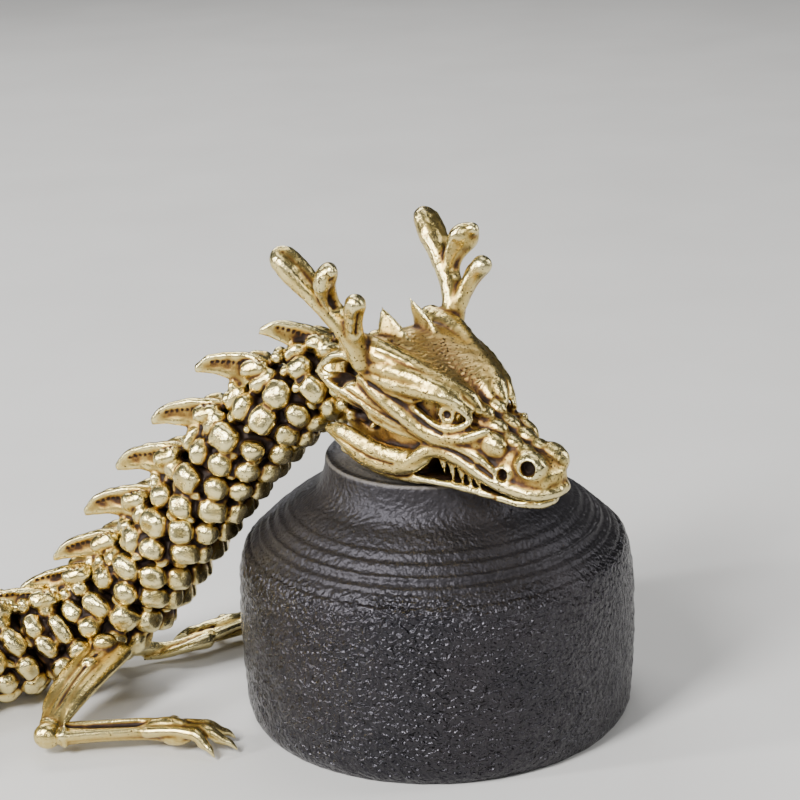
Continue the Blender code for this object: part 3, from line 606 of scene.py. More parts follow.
eye = np.array([37.2, 5.6, 16.2])
gaze = unit(np.array([0.34, 0.93, 0.06]))
antler_flat = (0.72, 0.1, 0.68)
head_side = [
    # Brow: a broad roll from the antler's foot that bends in to the bridge of the nose and hooks down
    # there, with a second that fills it out, a lower one over the eye, and a fold behind the eye.
    rod([(14, 11.6, 24.4, 2.8), (20, 10.8, 24.2, 3.1), (24, 9.7, 23.6, 3.0), (28.2, 8.4, 22.7, 2.7),
         (32.6, 7.0, 21.7, 2.5), (36.8, 5.6, 20.6, 2.2), (40.2, 4.3, 19.0, 1.9), (42.2, 3.6, 17.2, 1.2)]),
    rod([(19, 12.4, 22.0, 1.6), (25, 11.4, 22.0, 2.2), (30, 10.0, 21.6, 2.3), (34.6, 8.5, 20.9, 2.0),
         (38.6, 6.9, 19.8, 1.6)]),
    rod([(20, 12.6, 20.0, 1.2), (26, 12.0, 20.0, 1.9), (31, 10.7, 20.0, 1.9), (35.6, 9.1, 19.9, 1.7),
         (39.2, 7.4, 19.2, 1.5), (41.8, 5.8, 17.8, 0.9)]),
    rod([(21, 12.3, 18.8, 1.2), (26, 11.7, 18.0, 1.6), (30.4, 10.4, 17.6, 1.1)]),
    # The slope between the crown and the brow.
    rod([(16, 6.6, 22.8, 2.4), (20, 6.2, 23.2, 2.9), (26, 5.2, 22.6, 2.9), (32, 4.2, 21.3, 2.5),
         (37, 3.2, 19.5, 2.1), (40, 2.6, 17.8, 1.7)]),
    # Eye, its lids and the bag under it.
    boss(eye, (3.6, 3.5, 2.9)),
    hoop(eye + gaze * 3.4, gaze, 1.45, 0.36),
    rod([(29.8, 10.2, 16.8, 0.7), (33.2, 9.4, 18.6, 0.8), (37, 8.6, 19.2, 0.8), (40.8, 7.5, 18.0, 0.8),
         (42.8, 6.3, 16.2, 0.6)]),
    rod([(29.0, 10.6, 16.4, 0.8), (33, 9.8, 14.4, 0.95), (36.8, 9.1, 13.3, 1.0), (40.4, 8.2, 13.9, 0.9),
         (42.8, 6.9, 15.6, 0.6)]),
    rod([(30.6, 10.6, 13.6, 0.8), (34.6, 9.8, 11.8, 1.1), (39.0, 8.7, 11.6, 1.2), (43.2, 7.6, 12.8, 1.2),
         (46.4, 5.8, 14.9, 0.8)]),
    # Cheekbone, a second fold under it, and the cheek's bulge behind the nose.
    rod([(17.0, 12.6, 18.6, 0.9), (22.0, 12.7, 17.0, 1.6), (27.0, 12.0, 14.8, 1.8), (31.4, 10.8, 12.4, 1.7),
         (36.0, 9.4, 10.6, 1.5), (41, 8.2, 10.2, 1.3), (46, 7.2, 9.4, 1.1), (50.4, 6.4, 7.2, 0.8)],
        flat=0.8),
    boss((47.4, 4.8, 12.0), (3.8, 2.2, 2.8)),
    boss((42.0, 5.6, 11.6), (5.0, 2.6, 3.2)),
    # Upper flare, the ear above its tip, and the jowl fin.
    rod([(8.4, 15.7, 17.6, 0.5), (12, 14.8, 16.5, 1.9), (17, 13.6, 14.8, 2.5), (22.5, 12.5, 12.9, 2.6),
         (28, 11.2, 11.2, 2.2), (33, 9.6, 9.8, 1.2)], flat=0.6),
    rod([(8.6, 15.6, 17.9, 0.5), (10.4, 14.9, 20.4, 1.0), (13.4, 13.8, 22.2, 1.4),
         (17.4, 12.9, 22.8, 1.6)]),
    rod([(9.8, 13.0, 4.4, 1.0), (13.5, 13.0, 4.7, 2.3), (18, 12.6, 3.6, 3.0), (23, 11.9, 2.7, 3.2),
         (28, 10.7, 3.0, 3.0), (32, 9.6, 4.4, 2.2), (35.2, 8.8, 7.0, 1.1)], flat=0.6),
    rod([(13.5, 11.6, 0.9, 0.9), (19, 10.6, -0.6, 1.2), (25, 9.8, -1.0, 1.2), (32, 8.8, -0.2, 1.0)]),
    # Small lumps between the flare and the jowl fin, and one beside the ear.
    boss((10.6, 12.0, 13.0), 1.6), boss((12.6, 12.0, 10.4), 1.5), boss((15.0, 11.6, 8.9), 1.3),
    boss((17.4, 11.2, 9.2), 1.2), boss((19.8, 11.0, 8.4), 1.1), boss((16.5, 12.0, 20.0), 1.1),
    # Lips.
    rod([(24.5, 11.3, 1.9, 0.9), (28.4, 10.9, 2.5, 1.3), (31.4, 10.0, 4.6, 1.5), (34, 9.0, 7.0, 1.7),
         (37.4, 8.3, 8.2, 1.7), (41.4, 7.7, 7.9, 1.7), (45.3, 7.1, 6.8, 1.7), (49, 6.5, 5.7, 1.6),
         (53.4, 5.8, 5.1, 1.5), (57.5, 4.6, 5.0, 1.5), (60.2, 2.8, 5.5, 1.4), (61.2, 0, 5.8, 1.4)]),
    rod([(28, 9.5, -0.2, 0.9), (33, 8.8, 0.3, 0.85), (38.2, 7.9, 1.0, 0.85), (44.5, 6.9, 1.7, 0.85),
         (50, 5.9, 2.0, 0.85), (54.7, 4.7, 2.0, 0.85), (58.4, 2.8, 2.5, 0.85), (59.8, 0, 2.9, 0.85)]),
    # Nose: the nostril's bulb and rim, the small hole behind it, and the bridge's knobs.
    boss((56.4, 3.2, 10.2), (4.0, 3.0, 3.2)),
    boss((51.8, 4.4, 7.6), (2.8, 2.4, 2.4)),
    boss((45.4, 1.8, 14.3), (3.2, 2.0, 1.9)), boss((49.8, 2.1, 12.9), (3.0, 2.0, 1.7)),
    boss((53.6, 2.0, 12.2), (2.4, 1.8, 1.4)), boss((41.8, 1.9, 16.3), (2.8, 1.9, 1.9)),
    # Crest leaves on the crown.
    rod([(21.0, 4.8, 22.4, 5.0), (18.8, 4.8, 25.2, 4.0), (16.4, 4.5, 28.2, 2.2), (14.6, 4.1, 30.6, 0.4)],
        out=(0.25, 1, 0.1), flat=0.30),
    # Antler: a beam that widens to a rounded paddle, and two blunt tines.
    rod([(18.5, 12.8, 23.0, 3.2), (17.3, 14.8, 27.3, 2.8), (14.2, 16.7, 31.5, 2.8), (10, 18.2, 35.3, 3.0),
         (5.6, 19.7, 38.8, 3.5), (2.8, 20.6, 41.0, 3.3)], antler_flat, 0.78),
    rod([(14.2, 16.6, 31.2, 2.0), (13.3, 17.9, 35.2, 2.3), (13.3, 19.2, 38.2, 3.1),
         (13.9, 20.0, 40.2, 3.7)], antler_flat, 0.6),
    boss((15.6, 20.6, 42.6), (1.9, 1.4, 1.5)),
    rod([(17.9, 14.8, 27.2, 2.1), (18.8, 16.4, 31.0, 1.9), (19.8, 17.6, 34.4, 2.1),
         (21.0, 18.4, 36.6, 2.3)]),
]
# Teeth: how far forward each stands, and the height of its tip.
for forward, tip in ((37.0, 2.4), (39.4, 2.1), (41.9, 2.2), (44.2, 2.5), (46.4, 2.7)):
    tooth = [(forward - 0.6, 7.2, 8.0, 1.2), (forward, 7.0, 5.0, 0.9), (forward + 0.4, 6.7, tip, 0.2)]
    head_side.append(rod(tooth, sides=8))
# Nape: two rows of scales across the back of the skull.
for back, half, tall, across in ((6.6, 7.9, 6.6, (12, 40, 66, 92)), (10.0, 9.8, 8.8, (0, 24, 48, 74))):
    for degrees in across:
        way = np.array([-0.35, np.sin(np.radians(degrees)), np.cos(np.radians(degrees))])
        head_side.append(boss(
            np.array([back, 0, 12.6]) + way * [0, half, tall], (1.9, 2.3, 1.7),
            [[1, 0, 0], unit(np.cross([1, 0, 0], way)), unit(way * [0, 1, 1])], 0.8,
        ))

HEAD_VOXEL = 0.37
skin, quads = melted([lofted(skull_stations), lofted(jaw_stations), *both_sides(head_side)], HEAD_VOXEL)
edges = edges_of(quads)
skin = eased(skin, edges, 2)

# Hollows: the nostrils and holes, the ears and the eyes' pupils, pushed in along a direction. Each has a
# centre, a direction, a radius, a depth and how steep its wall is.
sided = np.column_stack([skin[:, 0], np.abs(skin[:, 1]), skin[:, 2]])
mirror = np.column_stack([np.ones(len(skin)), np.sign(skin[:, 1]), np.ones(len(skin))])
hollows = np.zeros(len(skin))
for centre, way, radius, depth, sharp in (
    ((57.6, 5.8, 10.6), (0.50, 0.84, 0.22), 1.8, 2.6, 2.5),
    ((52.0, 6.8, 7.6), (0.25, 0.95, 0.12), 1.3, 2.0, 2.5),
    ((14.0, 14.0, 18.9), (0.0, 1.0, 0.2), 3.4, 3.2, 1.6),
    (eye + gaze * 3.6, gaze, 1.0, 0.7, 1.5),
    ((18.5, 12.4, 10.2), (0.0, 1.0, 0.1), 4.0, 1.6, 1.3),
):
    way = unit(np.asarray(way, float))
    offset = sided - centre
    depthwise = offset @ way
    aside = np.linalg.norm(offset - np.outer(depthwise, way), axis=1)
    push = s_shape((1 - aside / radius) * sharp) * (np.abs(depthwise) < 3.5)
    skin -= (push * depth)[:, None] * way * mirror
    hollows = np.maximum(hollows, push)

# Engraved lines along the flare, the jowl fin, the cheek, the brow, the antlers and the crest leaves. The
# far antler's are shallower.
normals = facing(skin, quads)
for depth, radius, line in (
    (0.30, 0.7, [(11, 16.0, 17.4), (17, 15.2, 15.9), (23, 14.2, 14.0), (29, 12.6, 12.2)]),
    (0.24, 0.7, [(13, 16.0, 15.3), (18, 15.0, 13.6), (24, 13.8, 11.8), (30, 12.2, 10.4)]),
    (0.30, 0.8, [(12, 14.6, 4.6), (17, 14.6, 3.8), (23, 13.8, 2.8), (28, 12.6, 2.8)]),
    (0.24, 0.55, [(15, 14.8, 6.0), (20, 14.6, 5.6), (26, 13.4, 5.2)]),
    (0.24, 0.55, [(14, 15.6, 16.6), (19, 14.8, 15.0), (25, 13.6, 13.2), (31, 12.0, 11.4)]),
    (0.24, 0.55, [(15, 15.2, 14.2), (20, 14.4, 12.4), (25, 13.4, 11.0)]),
    (0.50, 0.8, [(21, 13.6, 18.6), (26, 12.8, 17.6), (30, 12.0, 16.0), (34, 10.6, 13.6), (38, 9.6, 12.4)]),
    (0.50, 0.8, [(36.5, 9.6, 9.6), (41.5, 8.8, 9.4), (46, 8.0, 8.2), (50, 7.2, 6.8)]),
    (0.22, 0.7, [(22, 13.0, 25.4), (28, 11.0, 24.6), (33, 9.6, 23.8)]),
    (0.8, 2.3, [(14.8, 17.6, 35.0), (10.4, 19.2, 38.2), (5.4, 20.6, 41.8), (3.0, 21.4, 43.2)]),
    (0.7, 1.9, [(14.9, 18.4, 35.0), (14.9, 19.6, 38.0), (15.4, 20.6, 41.2)]),
    (0.8, 1.3, [(20.2, 16.8, 30.0), (21.6, 17.8, 33.4), (22.4, 18.8, 35.8)]),
    (0.40, 0.8, [(23.4, 6.6, 23.2), (20.6, 6.8, 25.8), (17.6, 6.2, 28.6)]),
):
    far_antler = np.where((skin[:, 1] > 0) & (skin[:, 2] > 29), 0.4, 1)
    skin -= normals * (depth * far_antler * line_share(sided, line, radius))[:, None]

# The crown is one soft slope between the brows.
skin = eased(skin, edges, 1, share=0.35)
crown = np.clip(1.3 - np.linalg.norm((skin - [29, 0, 23.5]) / [11, 8.5, 6.5], axis=1), 0, 1) * 0.8
skin += (eased(skin, edges, 80) - skin) * np.clip(crown * 1.9, 0, 1)[:, None]

# The hollows, the mouth's inside and the gap over the jowl fin are painted dark as shade, and the eyeball
# is lighter round its darker pupil.
wear_and_shade_level = rubbed(skin * HEAD_UNIT, quads, edges) + 0.07 - 0.45 * hollows
forward, aside, high = skin.T
mouth = (np.abs(aside) < 6.6) & (forward > 32) & (forward < 51) & (high < 7.4) & (high > 0.6)
wear_and_shade_level = np.where(mouth, wear_and_shade_level * 0.35, wear_and_shade_level)
# Painted shade in the gap between the flare and the jowl fin.
wear_and_shade_level -= 0.30 * np.clip(1.6 - np.linalg.norm((sided - [17, 10.2, 9.6]) / [7, 3.2, 3.4], axis=1), 0, 1)
pupil = np.linalg.norm(sided - eye - gaze * 3.4, axis=1) < 0.75
wear_and_shade_level += 0.42 * np.clip(3.9 - np.linalg.norm(sided - eye, axis=1), 0, 1) - 0.8 * pupil

# Fine wavy wrinkles cross the crown: a sine of the distance forward, swayed by two sines of the width.
wrinkle = np.sin(forward * 5.6 + 1.6 * np.sin(aside * 1.3) + 1.1 * np.sin(aside * 3.1 + forward))
wrinkled = np.clip(crown * 2, 0, 1) * np.clip((7.5 + aside) / 3, 0, 1) * np.clip((4.5 - aside) / 4, 0, 1)
skin += normals * (0.17 * wrinkle * wrinkled)[:, None]
# The crests of the wrinkles and the whole crown are painted lighter: a painted highlight.
wear_and_shade_level += 0.17 * wrinkle * wrinkled + 0.15 * np.clip(crown * 2, 0, 1)
skin = hammered(in_head(skin), unit(normals @ head_axes), depth=0.045, size=2.4, seed=7)
skin[:, 2] = above_plinth(skin)
head_brass = aged_brass_painted_shade("brass_wear_painted_shade_head", pits=1.0)
add_casting("dragon_head", "head", skin, quads, wear_and_shade_level, head_brass, crown)

# Body: 23 separate cast links, about 12.7 mm from one to the next behind the neck and shorter towards
# the tail. Each is a barrel with a dome in front and a cup behind, two hoops of rounded scales, broad
# plates on its belly, and a swept fin on its crest with a rim round a sunk panel.

BODY_RADIUS, GAP, LINK_PITCH = 10.5, 0.3, 12.7
# The height that the neck's bow is measured in, and how far behind the plinth's axis it comes down.
OVER, BESIDE = 65.0, 53.0
# Nothing of the brass that lies on the table is lower than this.
TABLE_GAP = 0.05


def girth(share):
    """Radius of the body as a share of its greatest, at a share of the way from nape to tail."""
    return np.interp(share, [0, 0.08, 0.25, 0.50, 0.75, 0.90, 1], [0.86, 0.94, 1, 1, 0.76, 0.55, 0.38])


# The body's axis runs from the head over the plinth's edge, down behind it and in one easy S along the
# table. The links get shorter as it gets thinner.
route = [in_head((5.5, 0, 12.5))] + [
    (-0.525 * PLINTH_RADIUS, 1, 1.080 * OVER),
    (-0.752 * PLINTH_RADIUS, 2.5, 0.965 * OVER),
    (-BESIDE + 13.7, 4, 0.825 * OVER),
    (-BESIDE + 4.2, 7, 0.634 * OVER),
    (-BESIDE - 3.0, 9, 0.474 * OVER),
    (-BESIDE - 11.4, 11, 0.311 * OVER),
    (-BESIDE - 19.9, 11, 1.32 * BODY_RADIUS),
    (-BESIDE - 28.5, 10.5, 1.11 * BODY_RADIUS),
] + [
    (-BESIDE - back, aside, BODY_RADIUS * girth(share) + GAP)
    for back, aside, share in (
        (39, 7.5, 0.38), (54, 0, 0.44), (70, -9, 0.50), (86, -16, 0.56), (102, -16, 0.62), (117, -7, 0.68),
        (131, 5, 0.74), (146, 14, 0.80), (161, 16, 0.86), (175, 9, 0.93), (185, -2, 1.00),
    )
]
samples = smooth_path(route, 24)
run = np.concatenate([[0], np.cumsum(np.linalg.norm(np.diff(samples, axis=0), axis=1))])
pitch = LINK_PITCH * (0.45 + 0.55 * girth(run / run[-1]))
count = np.concatenate([[0], np.cumsum(np.diff(run) / pitch[1:])])
whole = round(count[-1])
places = np.interp(np.arange(whole + 1) * count[-1] / whole, count, run)
pivots = np.stack([np.interp(places, run, samples[:, axis]) for axis in range(3)], -1)
girths = girth(places / run[-1])
chords = unit(pivots[:-1] - pivots[1:])
headward = unit(np.vstack([chords[:1], chords[:-1] + chords[1:], chords[-1:]]))
crestward = unit(np.array([0, 0, 1.0]) - headward[:, 2:] * headward)

# The hoops of scales lean: they sit further back at the crest than at the belly, most of all where the
# neck comes down beside the plinth.
lean = np.interp(places / run[-1], [0, 0.04, 0.12, 0.30, 0.42, 1], [0.05, 0.2, 0.55, 0.5, 0.25, 0.12])
fin_front = np.array([(1.4, 8.6), (3.0, 11.5), (5.7, 14.4), (9.1, 17.0), (12.9, 18.9), (16.6, 18.9)])
fin_rear = np.array([(11.0, 8.6), (11.6, 10.2), (12.4, 11.9), (13.7, 13.9), (15.7, 16.0), (17.5, 17.6)])


def on_body(index, turn, reach):
    """Places on the body in millimetres: at this count of links from the nape, this far round from the
    crest, and this far out from the axis in body parts. Round the body the count slides with the lean."""
    index, turn, reach = np.broadcast_arrays(*(np.asarray(v, float) for v in (index, turn, reach)))
    counts = np.arange(len(pivots))
    slide = np.interp(index, counts, lean) * (np.cos(turn) - 0.3) * reach / LINK_PITCH
    index = np.clip(index + slide, -0.3, counts[-1] + 0.3)
    here = np.clip(index, 0, counts[-1])

    def blend(rows):
        return np.stack([np.interp(here, counts, rows[:, axis]) for axis in range(3)], -1)

    along, up = unit(blend(headward)), blend(crestward)
    centre = blend(pivots) - along * ((index - here) * LINK_PITCH)[..., None]
    size = (np.interp(here, counts, girths) * reach)[..., None]
    outward = np.sin(turn)[..., None] * unit(np.cross(up, along)) + np.cos(turn)[..., None] * unit(up)
    return centre + size * outward


def barrel(link):
    """The link's core: a dome, a waist between two swellings, and a rear rim round a hollow cup."""
    turn = np.arange(28) * 2 * np.pi / 28
    profile = [(0.0, 2.6), (0.0, 4.4), (0.0, 6.0), (0.02, 6.9), (0.10, 7.5), (0.28, 7.9), (0.50, 7.0),
               (0.74, 7.9), (0.93, 7.9), (0.975, 7.4), (0.985, 6.3), (0.985, 4.7), (0.985, 2.9)]
    rings = np.stack([on_body(link + share, turn, radius) for share, radius in profile])
    for ring, rise in ((0, 2.6), (1, 1.6), (11, 1.6), (12, 2.6)):
        rings[ring] += headward[link] * girths[link] * rise
    front, rear = (ring.mean(axis=0) + headward[link] * 0.5 for ring in (rings[0], rings[-1]))
    return shell(rings, front, rear)


def scale_on(index, degrees, long, wide, tall, tilt=0.16, twist=0.0, reach=8.5, square=0.78):
    """One rounded scale: a squared lump sat on the barrel in line with its hoop, its rear edge tipped out,
    and longer where the bend of the body leaves it more room."""
    turn = np.radians(degrees)
    centre = on_body(index, turn, reach)
    out = unit(on_body(index, turn, reach + 1) - centre)
    across = unit(on_body(index, turn + 0.05, reach) - on_body(index, turn - 0.05, reach))
    along = unit(np.cross(across, out))
    out, along = unit(out + tilt * along), unit(along - tilt * out)
    across, along = (
        across * np.cos(twist) + along * np.sin(twist), along * np.cos(twist) - across * np.sin(twist)
    )
    size = np.interp(index, np.arange(len(girths)), girths)
    room = np.linalg.norm(on_body(index + 0.22, turn, reach) - on_body(index - 0.22, turn, reach))
    long *= np.clip(room / (5.3 * size), 0.8, 1.5)
    return boss(centre, np.array([wide, long, tall]) * size, [across, along, out], square)


def fin_frame(link, back, high, aside=0.0):
    """Places beside the link's pivot: back along it, up from its axis and aside, in body parts. From the
    fifth link on the fins lie lower."""
    low = np.interp(link, [4, 5, 6, 7], [0, 0.5, 1.2, 1.4])
    high = 10 + (high - 10) * (1 - 0.36 * low)
    back = back + low * 0.22 * (high - 10)
    along = unit(headward[link] + headward[link + 1])
    up = crestward[link] + crestward[link + 1]
    up = unit(up - (up @ along) * along)
    return pivots[link] + girths[link] * (-back * along + high * up + aside * np.cross(up, along))


def fin_on(link):
    """The swept fin: its outline runs up a front edge and down a rear one to a shared tip, and its
    thickness makes a raised rim round a sunk panel on each side."""
    rows = smooth_path(np.hstack([fin_front, fin_rear]))
    climb = np.linspace(0, 1, len(rows))[:, None, None]
    turn = (np.arange(24) * 2 * np.pi / 24)[None, :, None]
    front, rear = rows[:, None, :2], rows[:, None, 2:]
    flat = (front + rear) / 2 + np.cos(turn) * (front - rear) / 2
    thick = (2.0 - 1.1 * climb) * np.sign(np.sin(turn)) * np.abs(np.sin(turn)) ** 0.45
    panel = np.clip(1.5 - np.abs(np.cos(turn) - 0.08) * 2.1, 0, 1) * np.clip((0.9 - climb) * 5, 0, 1)
    points = fin_frame(link, flat[..., :1], flat[..., 1:], thick * (1 - 0.5 * panel))
    return shell(points, points[0].mean(axis=0), points[-1].mean(axis=0))


body_brass = aged_brass_painted_shade("brass_wear_painted_shade_body")

# The links that the photograph shows have the finer mesh.
LINKS_SHOWN, LINK_VOXEL, PLAIN_VOXEL = 9, 0.37, 0.58
for link in range(len(pivots) - 2):
    luck = np.random.default_rng(100 + link)
    shapes = [barrel(link), fin_on(link)]
    for share, hoop_scales in (
        (0.27, ((28, 2.3), (62, 3.35), (100, 2.9), (133, 2.6))),
        (0.74, ((12, 1.9), (43, 2.6), (79, 2.95), (115, 2.9), (144, 2.3))),
    ):
        for degrees, wide in hoop_scales:
            for hand in (-1, 1):
                shapes.append(scale_on(
                    link + share + luck.uniform(-0.04, 0.04), hand * (degrees + luck.uniform(-4, 4)),
                    2.55 * luck.uniform(0.86, 1.12), wide * luck.uniform(0.86, 1.10),
                    luck.uniform(2.2, 2.9), tilt=luck.uniform(-0.08, 0.28),
                    twist=luck.uniform(-0.3, 0.3), square=luck.uniform(0.66, 1.05),
                ))
        for hand in (-1, 1):
            shapes.append(scale_on(link + share, hand * 164, 2.3, 2.7, 1.75, square=0.6))
    # Small lumps in the gaps between the hoops and before the next link.
    for share, start in ((0.50, -140), (0.98, -156)):
        for degrees in np.arange(start, 151, 29):
            if abs(degrees) > 15 and luck.random() < 0.85:
                shapes.append(scale_on(
                    link + share + luck.uniform(-0.03, 0.02), degrees + luck.uniform(-8, 8),
                    luck.uniform(0.8, 1.3), luck.uniform(0.9, 1.7), luck.uniform(1.0, 1.7),
                    twist=luck.uniform(-0.8, 0.8), reach=8.1,
                ))
    # A boss beside the fin's foot on each hand, a small one before it, and the fin's own knob behind.
    along_fin = unit(fin_frame(link, 10.5, 14.8) - fin_frame(link, 4.0, 10.9))
    side = unit(np.cross(crestward[link], headward[link]))
    feet = []
    for hand in (-1, 1):
        foot = fin_frame(link, 5.6, 10.6, hand * 3.0)
        across = unit(side * 0.8 - np.cross(along_fin, side) * hand * 0.6)
        outward = np.cross(along_fin, across) * hand
        feet.append((foot, across, outward))
        radii = np.array([3.2, 2.5, 2.0]) * girths[link]
        shapes.append(boss(foot, radii, [along_fin, across, outward], 0.72))
        shapes.append(boss(fin_frame(link, 12.3, 10.2, hand * 1.3), 1.35 * girths[link]))
        shapes.append(boss(fin_frame(link, 0.2, 9.4, hand * 1.8), 1.6 * girths[link]))
    skin, quads = melted(shapes, LINK_VOXEL if link < LINKS_SHOWN else PLAIN_VOXEL)
    edges = edges_of(quads)
    skin = eased(skin, edges, 1)
    normals = facing(skin, quads)
    skin = hammered(skin, normals, depth=0.06, size=2.6, seed=link)
    # Two slanting cuts across each boss, and a row of dots along the fin's panel, on both sides.
    dots = smooth_path((fin_front * 0.62 + fin_rear * 0.38)[2:], 3)[:-4]
    for hand, (foot, across, outward) in zip((-1, 1), feet):
        for slip in (-0.8, 0.7):
            cut = [foot + girths[link] * (along_fin * (slip + step * 0.5) + across * step + outward * rise)
                   for step, rise in ((-2.2, 1.2), (-0.8, 2.0), (0.8, 2.0), (2.2, 1.2))]
            engrave(skin, normals, cut, depth=0.42, radius=0.6)
        for back, high in dots:
            dot = [fin_frame(link, back + slip, high, hand * reach)
                   for slip, reach in ((-0.2, 0.4), (0, 1.2), (0.2, 1.9))]
            engrave(skin, normals, dot, depth=0.26, radius=0.5)
    # The core between the scales is painted dark as shade, the skin further out is lighter as rubbed metal
    # and painted highlight, and the fin is duller.
    offset = skin - pivots[link]
    reach = np.linalg.norm(offset - np.outer(offset @ chords[link], chords[link]), axis=1) / girths[link]
    wear_and_shade_level = rubbed(skin, quads, edges) - 0.42 + 0.60 * s_shape((reach - 8.0) / 2.2)
    wear_and_shade_level -= 0.17 * np.clip(reach - 11.4, 0, 1)
    skin[:, 2] = np.maximum(above_plinth(skin), TABLE_GAP)
    name = f"link_{link + 1:02d}"
    add_casting("body_" + name, name, skin, quads, wear_and_shade_level, body_brass)

# Legs: each is two castings that meet at a round knuckle with a collar. The upper leg has two flat ridges
# over a core, a long plate beside them and bosses at the shoulder. The lower leg has two long sinews,
# knuckled toes and slim hooked claws, and lies on the table.


def on_route(back):
    """The point of the body's axis that lies a length behind the plinth's centre."""
    order = np.argsort(-pivots[:, 0])
    return np.array([np.interp(back, -pivots[order, 0], pivots[order, axis]) for axis in range(3)])


def limb(places, radii, out=(0.1, 1, 0.15), flat=1.0):
    """A rod through these places with these radii."""
    return rod(np.column_stack([np.stack(places), radii]), out, flat)


def leg_castings(shoulder, elbow, wrist, paw, heading):
    """Shapes of the upper leg and of the lower leg, and the lines engraved along each."""
    up = np.array([0, 0, 1.0])
    down_leg = unit(elbow - shoulder)
    broad = unit(np.cross(down_leg, up))
    crest = np.cross(broad, down_leg)
    middle = shoulder * 0.45 + elbow * 0.55 + up * 1.2
    upper = [
        limb([shoulder, middle, elbow - down_leg], (4.2, 3.3, 2.2), crest, 0.7),
        limb([
            shoulder + crest * 0.8 - broad * 2.9,
            middle + crest * 0.6 - broad * 2.3,
            elbow - down_leg * 2 - broad * 0.9,
        ], (2.8, 2.3, 1.6), crest, 0.62),
        limb([
            shoulder + crest * 0.8 + broad * 3.2,
            middle + crest * 0.6 + broad * 2.7,
            elbow - down_leg * 2 + broad * 1.1,
        ], (2.8, 2.5, 1.6), crest, 0.62),
        boss(elbow + unit(wrist - elbow) * 0.5, (2.9, 2.5, 2.7)),
        hoop(elbow - down_leg * 2.2, down_leg, 2.1, 0.6),
        boss(
            elbow * 0.55 + shoulder * 0.45 + broad * 2.8 + crest * 1.2,
            (6.5, 2.2, 1.5), [down_leg, broad, crest], 0.9,
        ),
        boss(shoulder + crest * 3.0, (2.6, 2.3, 2.0)),
        boss(shoulder * 0.75 + elbow * 0.25 + crest * 2.6, (1.9, 1.7, 1.5)),
    ]
    along = unit(wrist - elbow)
    side = unit(np.cross(up, along))
    start = elbow + along * 3.6
    half = (elbow + wrist) / 2
    lower = [
        limb([start, half, wrist, paw], (2.4, 1.9, 1.9, 2.2), up, 0.85),
        limb([
            start + side * 1.5 + up * 0.9,
            half + side * 1.2 + up * 1.3,
            wrist + side * 0.4 + up * 1.9,
            paw + side * 1.5 + up * 1.5,
        ], (1.2, 1.05, 1.0, 1.1)),
        limb([
            start - side * 1.5 + up * 0.5,
            half - side * 1.3 + up * 0.7,
            wrist - side * 1.6 + up * 0.9,
            paw - side * 1.9 + up * 0.9,
        ], (1.2, 1.05, 1.0, 1.1)),
        hoop(elbow + along * 3.9, along, 2.1, 0.55),
        boss(wrist + up * 0.6, (1.9, 1.9, 1.7)),
        boss(paw - along * 0.8 + up * 0.1, (3.6, 2.7, 2.0)),
        limb([wrist - along * 1.5 + up * 0.8, wrist * 0.4 + paw * 0.6 + up * 1.8, paw + up * 1.6],
             (1.6, 1.9, 1.8)),
    ]

    # Three toes and a hind claw: the angle from the paw's heading, and how far out the tip lies.
    ahead_paw = np.array([np.cos(heading), np.sin(heading), 0])
    aside = np.array([-ahead_paw[1], ahead_paw[0], 0])
    for angle, reach in ((-34, 8.5), (-8, 11.0), (18, 10.0), (125, 6.5)):
        way = ahead_paw * np.cos(np.radians(angle)) + aside * np.sin(np.radians(angle))
        root, tip = paw + way * 0.6 + up * 1.0, np.append((paw + way * (reach + 0.8))[:2], 0.9)
        knuckle, nail = root * 0.56 + tip * 0.44 + up * 1.8, root * 0.3 + tip * 0.7 + up * 1.2
        if angle < 90:
            bone = wrist + aside * (angle / 22) * 1.2 + up * 0.9
            lower.append(limb([bone, bone * 0.45 + knuckle * 0.55 + up * 0.5, knuckle], (1.2, 1.05, 1.3)))
        lower += [
            limb([root, knuckle, nail], (1.35, 1.35, 1.0)),
            boss(knuckle, (1.5, 1.5, 1.35)),
            limb([nail - way * 0.8, nail * 0.5 + tip * 0.5 + up * 0.45, tip], (1.05, 0.75, 0.18)),
        ]
    furrows = [(shoulder * t + elbow * (1 - t)) + crest * 3.0 for t in (0.85, 0.5, 0.15)]
    sinews = [start + up * 2.2, half + up * 2.1, wrist - side * 0.6 + up * 2.2]
    return (upper, furrows), (lower, sinews)


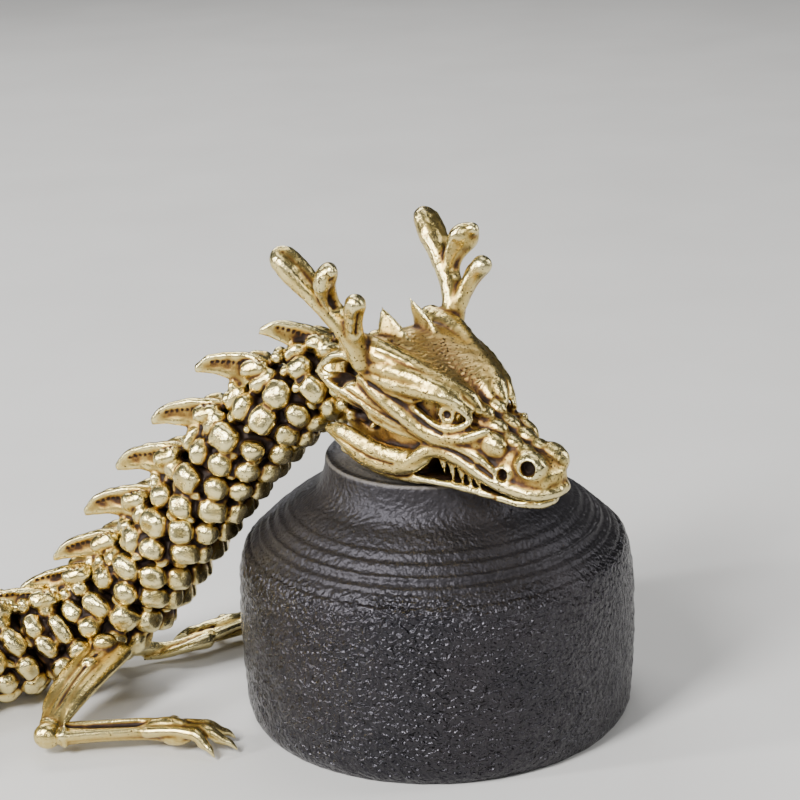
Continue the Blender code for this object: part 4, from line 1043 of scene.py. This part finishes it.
LEG_VOXEL, HIDDEN_LEG_VOXEL = 0.30, 0.42
fore, hind = on_route(BESIDE + 12), on_route(BESIDE + 112)
for name, middle, hip, elbow, wrist, paw, heading in (
    ("foreleg_right", fore, (-3.0, -9.5, -8.0), (-14.0, -30.0), (6.5, -28.5), (13.0, -30.0), -8),
    ("foreleg_left", fore, (-2.0, 10.0, -5.0), (-3.0, 9.5), (16.0, 17.0), (21.5, 21.0), 34),
    ("hindleg_right", hind, (0.0, -10.0, -2.0), (15.0, -25.0), (-6.0, -32.0), (-1.0, -36.0), -30),
    ("hindleg_left", hind, (0.0, 10.0, -2.0), (13.0, 25.0), (-8.0, 31.0), (-3.0, 35.0), 30),
):
    ground = np.array([middle[0], middle[1], 0])
    castings = leg_castings(
        middle + hip,
        ground + (*elbow, 4.0),
        ground + (*wrist, 3.2),
        ground + (*paw, 3.0),
        np.radians(heading),
    )
    if name == "foreleg_left":
        # In place of the first six shapes of its lower leg this one has a slim forearm, a ridge on its
        # wrist, and two claws that point back beside the plinth.
        castings[1][0][:6] = [
            rod([(-64.8, 21.8, 3.6, 1.9), (-59.0, 23.6, 2.6, 1.3), (-53.5, 25.4, 2.9, 1.5),
                 (-49.0, 28.0, 3.4, 2.0), (-43.5, 32.0, 3.2, 2.2)]),
            rod([(-54.0, 27.6, 3.6, 0.9), (-50.5, 28.6, 4.8, 1.3), (-46.5, 30.6, 4.8, 1.5),
                 (-43.5, 32.0, 4.0, 1.6)]),
            rod([(-50.0, 25.0, 3.2, 1.8), (-54.0, 22.8, 2.9, 1.25), (-59.0, 21.9, 1.7, 0.9),
                 (-63.5, 21.4, 0.9, 0.3)]),
            rod([(-49.0, 27.0, 3.8, 1.6), (-53.0, 28.2, 4.3, 1.2), (-56.0, 29.2, 2.6, 0.9),
                 (-58.0, 29.6, 1.2, 0.3)]),
        ]
    for half_name, (shapes, furrow) in zip(("_upper", "_lower"), castings):
        skin, quads = melted(shapes, LEG_VOXEL if name == "foreleg_right" else HIDDEN_LEG_VOXEL)
        edges = edges_of(quads)
        skin = eased(skin, edges, 2, share=0.4)
        engrave(skin, facing(skin, quads), furrow, depth=0.45, radius=1.0)
        wear_and_shade_level = rubbed(skin, quads, edges) + (0.14 if name == "foreleg_left" else 0.08)
        skin[:, 2] = np.maximum(skin[:, 2], TABLE_GAP)
        add_casting(name + half_name + "_casting", name + half_name, skin, quads, wear_and_shade_level, body_brass)

# Tail: the last casting, a short stem with the dome of a link and a flame of five leaves that curl
# upwards, each with a vein.

start, size = pivots[-2], girths[-2]
back = -chords[-1]
up = np.array([0, 0, 1.0])
turn = np.arange(24) * 2 * np.pi / 24
round_stem = on_body(len(pivots) - 2, turn, 1.0) - start
stem = [
    start + headward[-2] * rise * size + round_stem * radius
    for rise, radius in ((2.6, 2.6), (1.6, 4.4), (0, 6.0))
] + [
    start + back * behind + round_stem * radius
    for behind, radius in ((1.2, 8.2), (5, 7.4), (8, 5.6), (10, 4.0))
]
shapes = [shell(np.stack(stem), start + headward[-2] * 3.1 * size, start + back * 12)]
root = start + back * 4
veins = []
for angle, length in ((-24, 15), (2, 24), (28, 28), (54, 23), (84, 15)):
    way = back * np.cos(np.radians(angle)) + up * np.sin(np.radians(angle))
    curl = up * np.cos(np.radians(angle)) - back * np.sin(np.radians(angle))
    leaf = [
        root + way * length * far + curl * lift
        for far, lift in ((0, 0), (0.45, 1.0), (0.80, 2.4), (1.0, 5.0))
    ]
    shapes.append(limb(leaf, (2.4, 2.5, 1.6, 0.4), np.cross(way, curl), 0.72))
    veins += [[place + np.cross(way, curl) * hand * 1.5 for place in leaf[:3]] for hand in (-1, 1)]
TAIL_VOXEL = 0.36
skin, quads = melted(shapes, TAIL_VOXEL)
edges = edges_of(quads)
skin = eased(skin, edges, 2, share=0.4)
normals = facing(skin, quads)
for vein in veins:
    engrave(skin, normals, vein, depth=0.5, radius=0.9)
wear_and_shade_level = rubbed(skin, quads, edges)
skin[:, 2] = np.maximum(skin[:, 2], TABLE_GAP)
add_casting("tail_flame", "tail", skin, quads, wear_and_shade_level, body_brass)
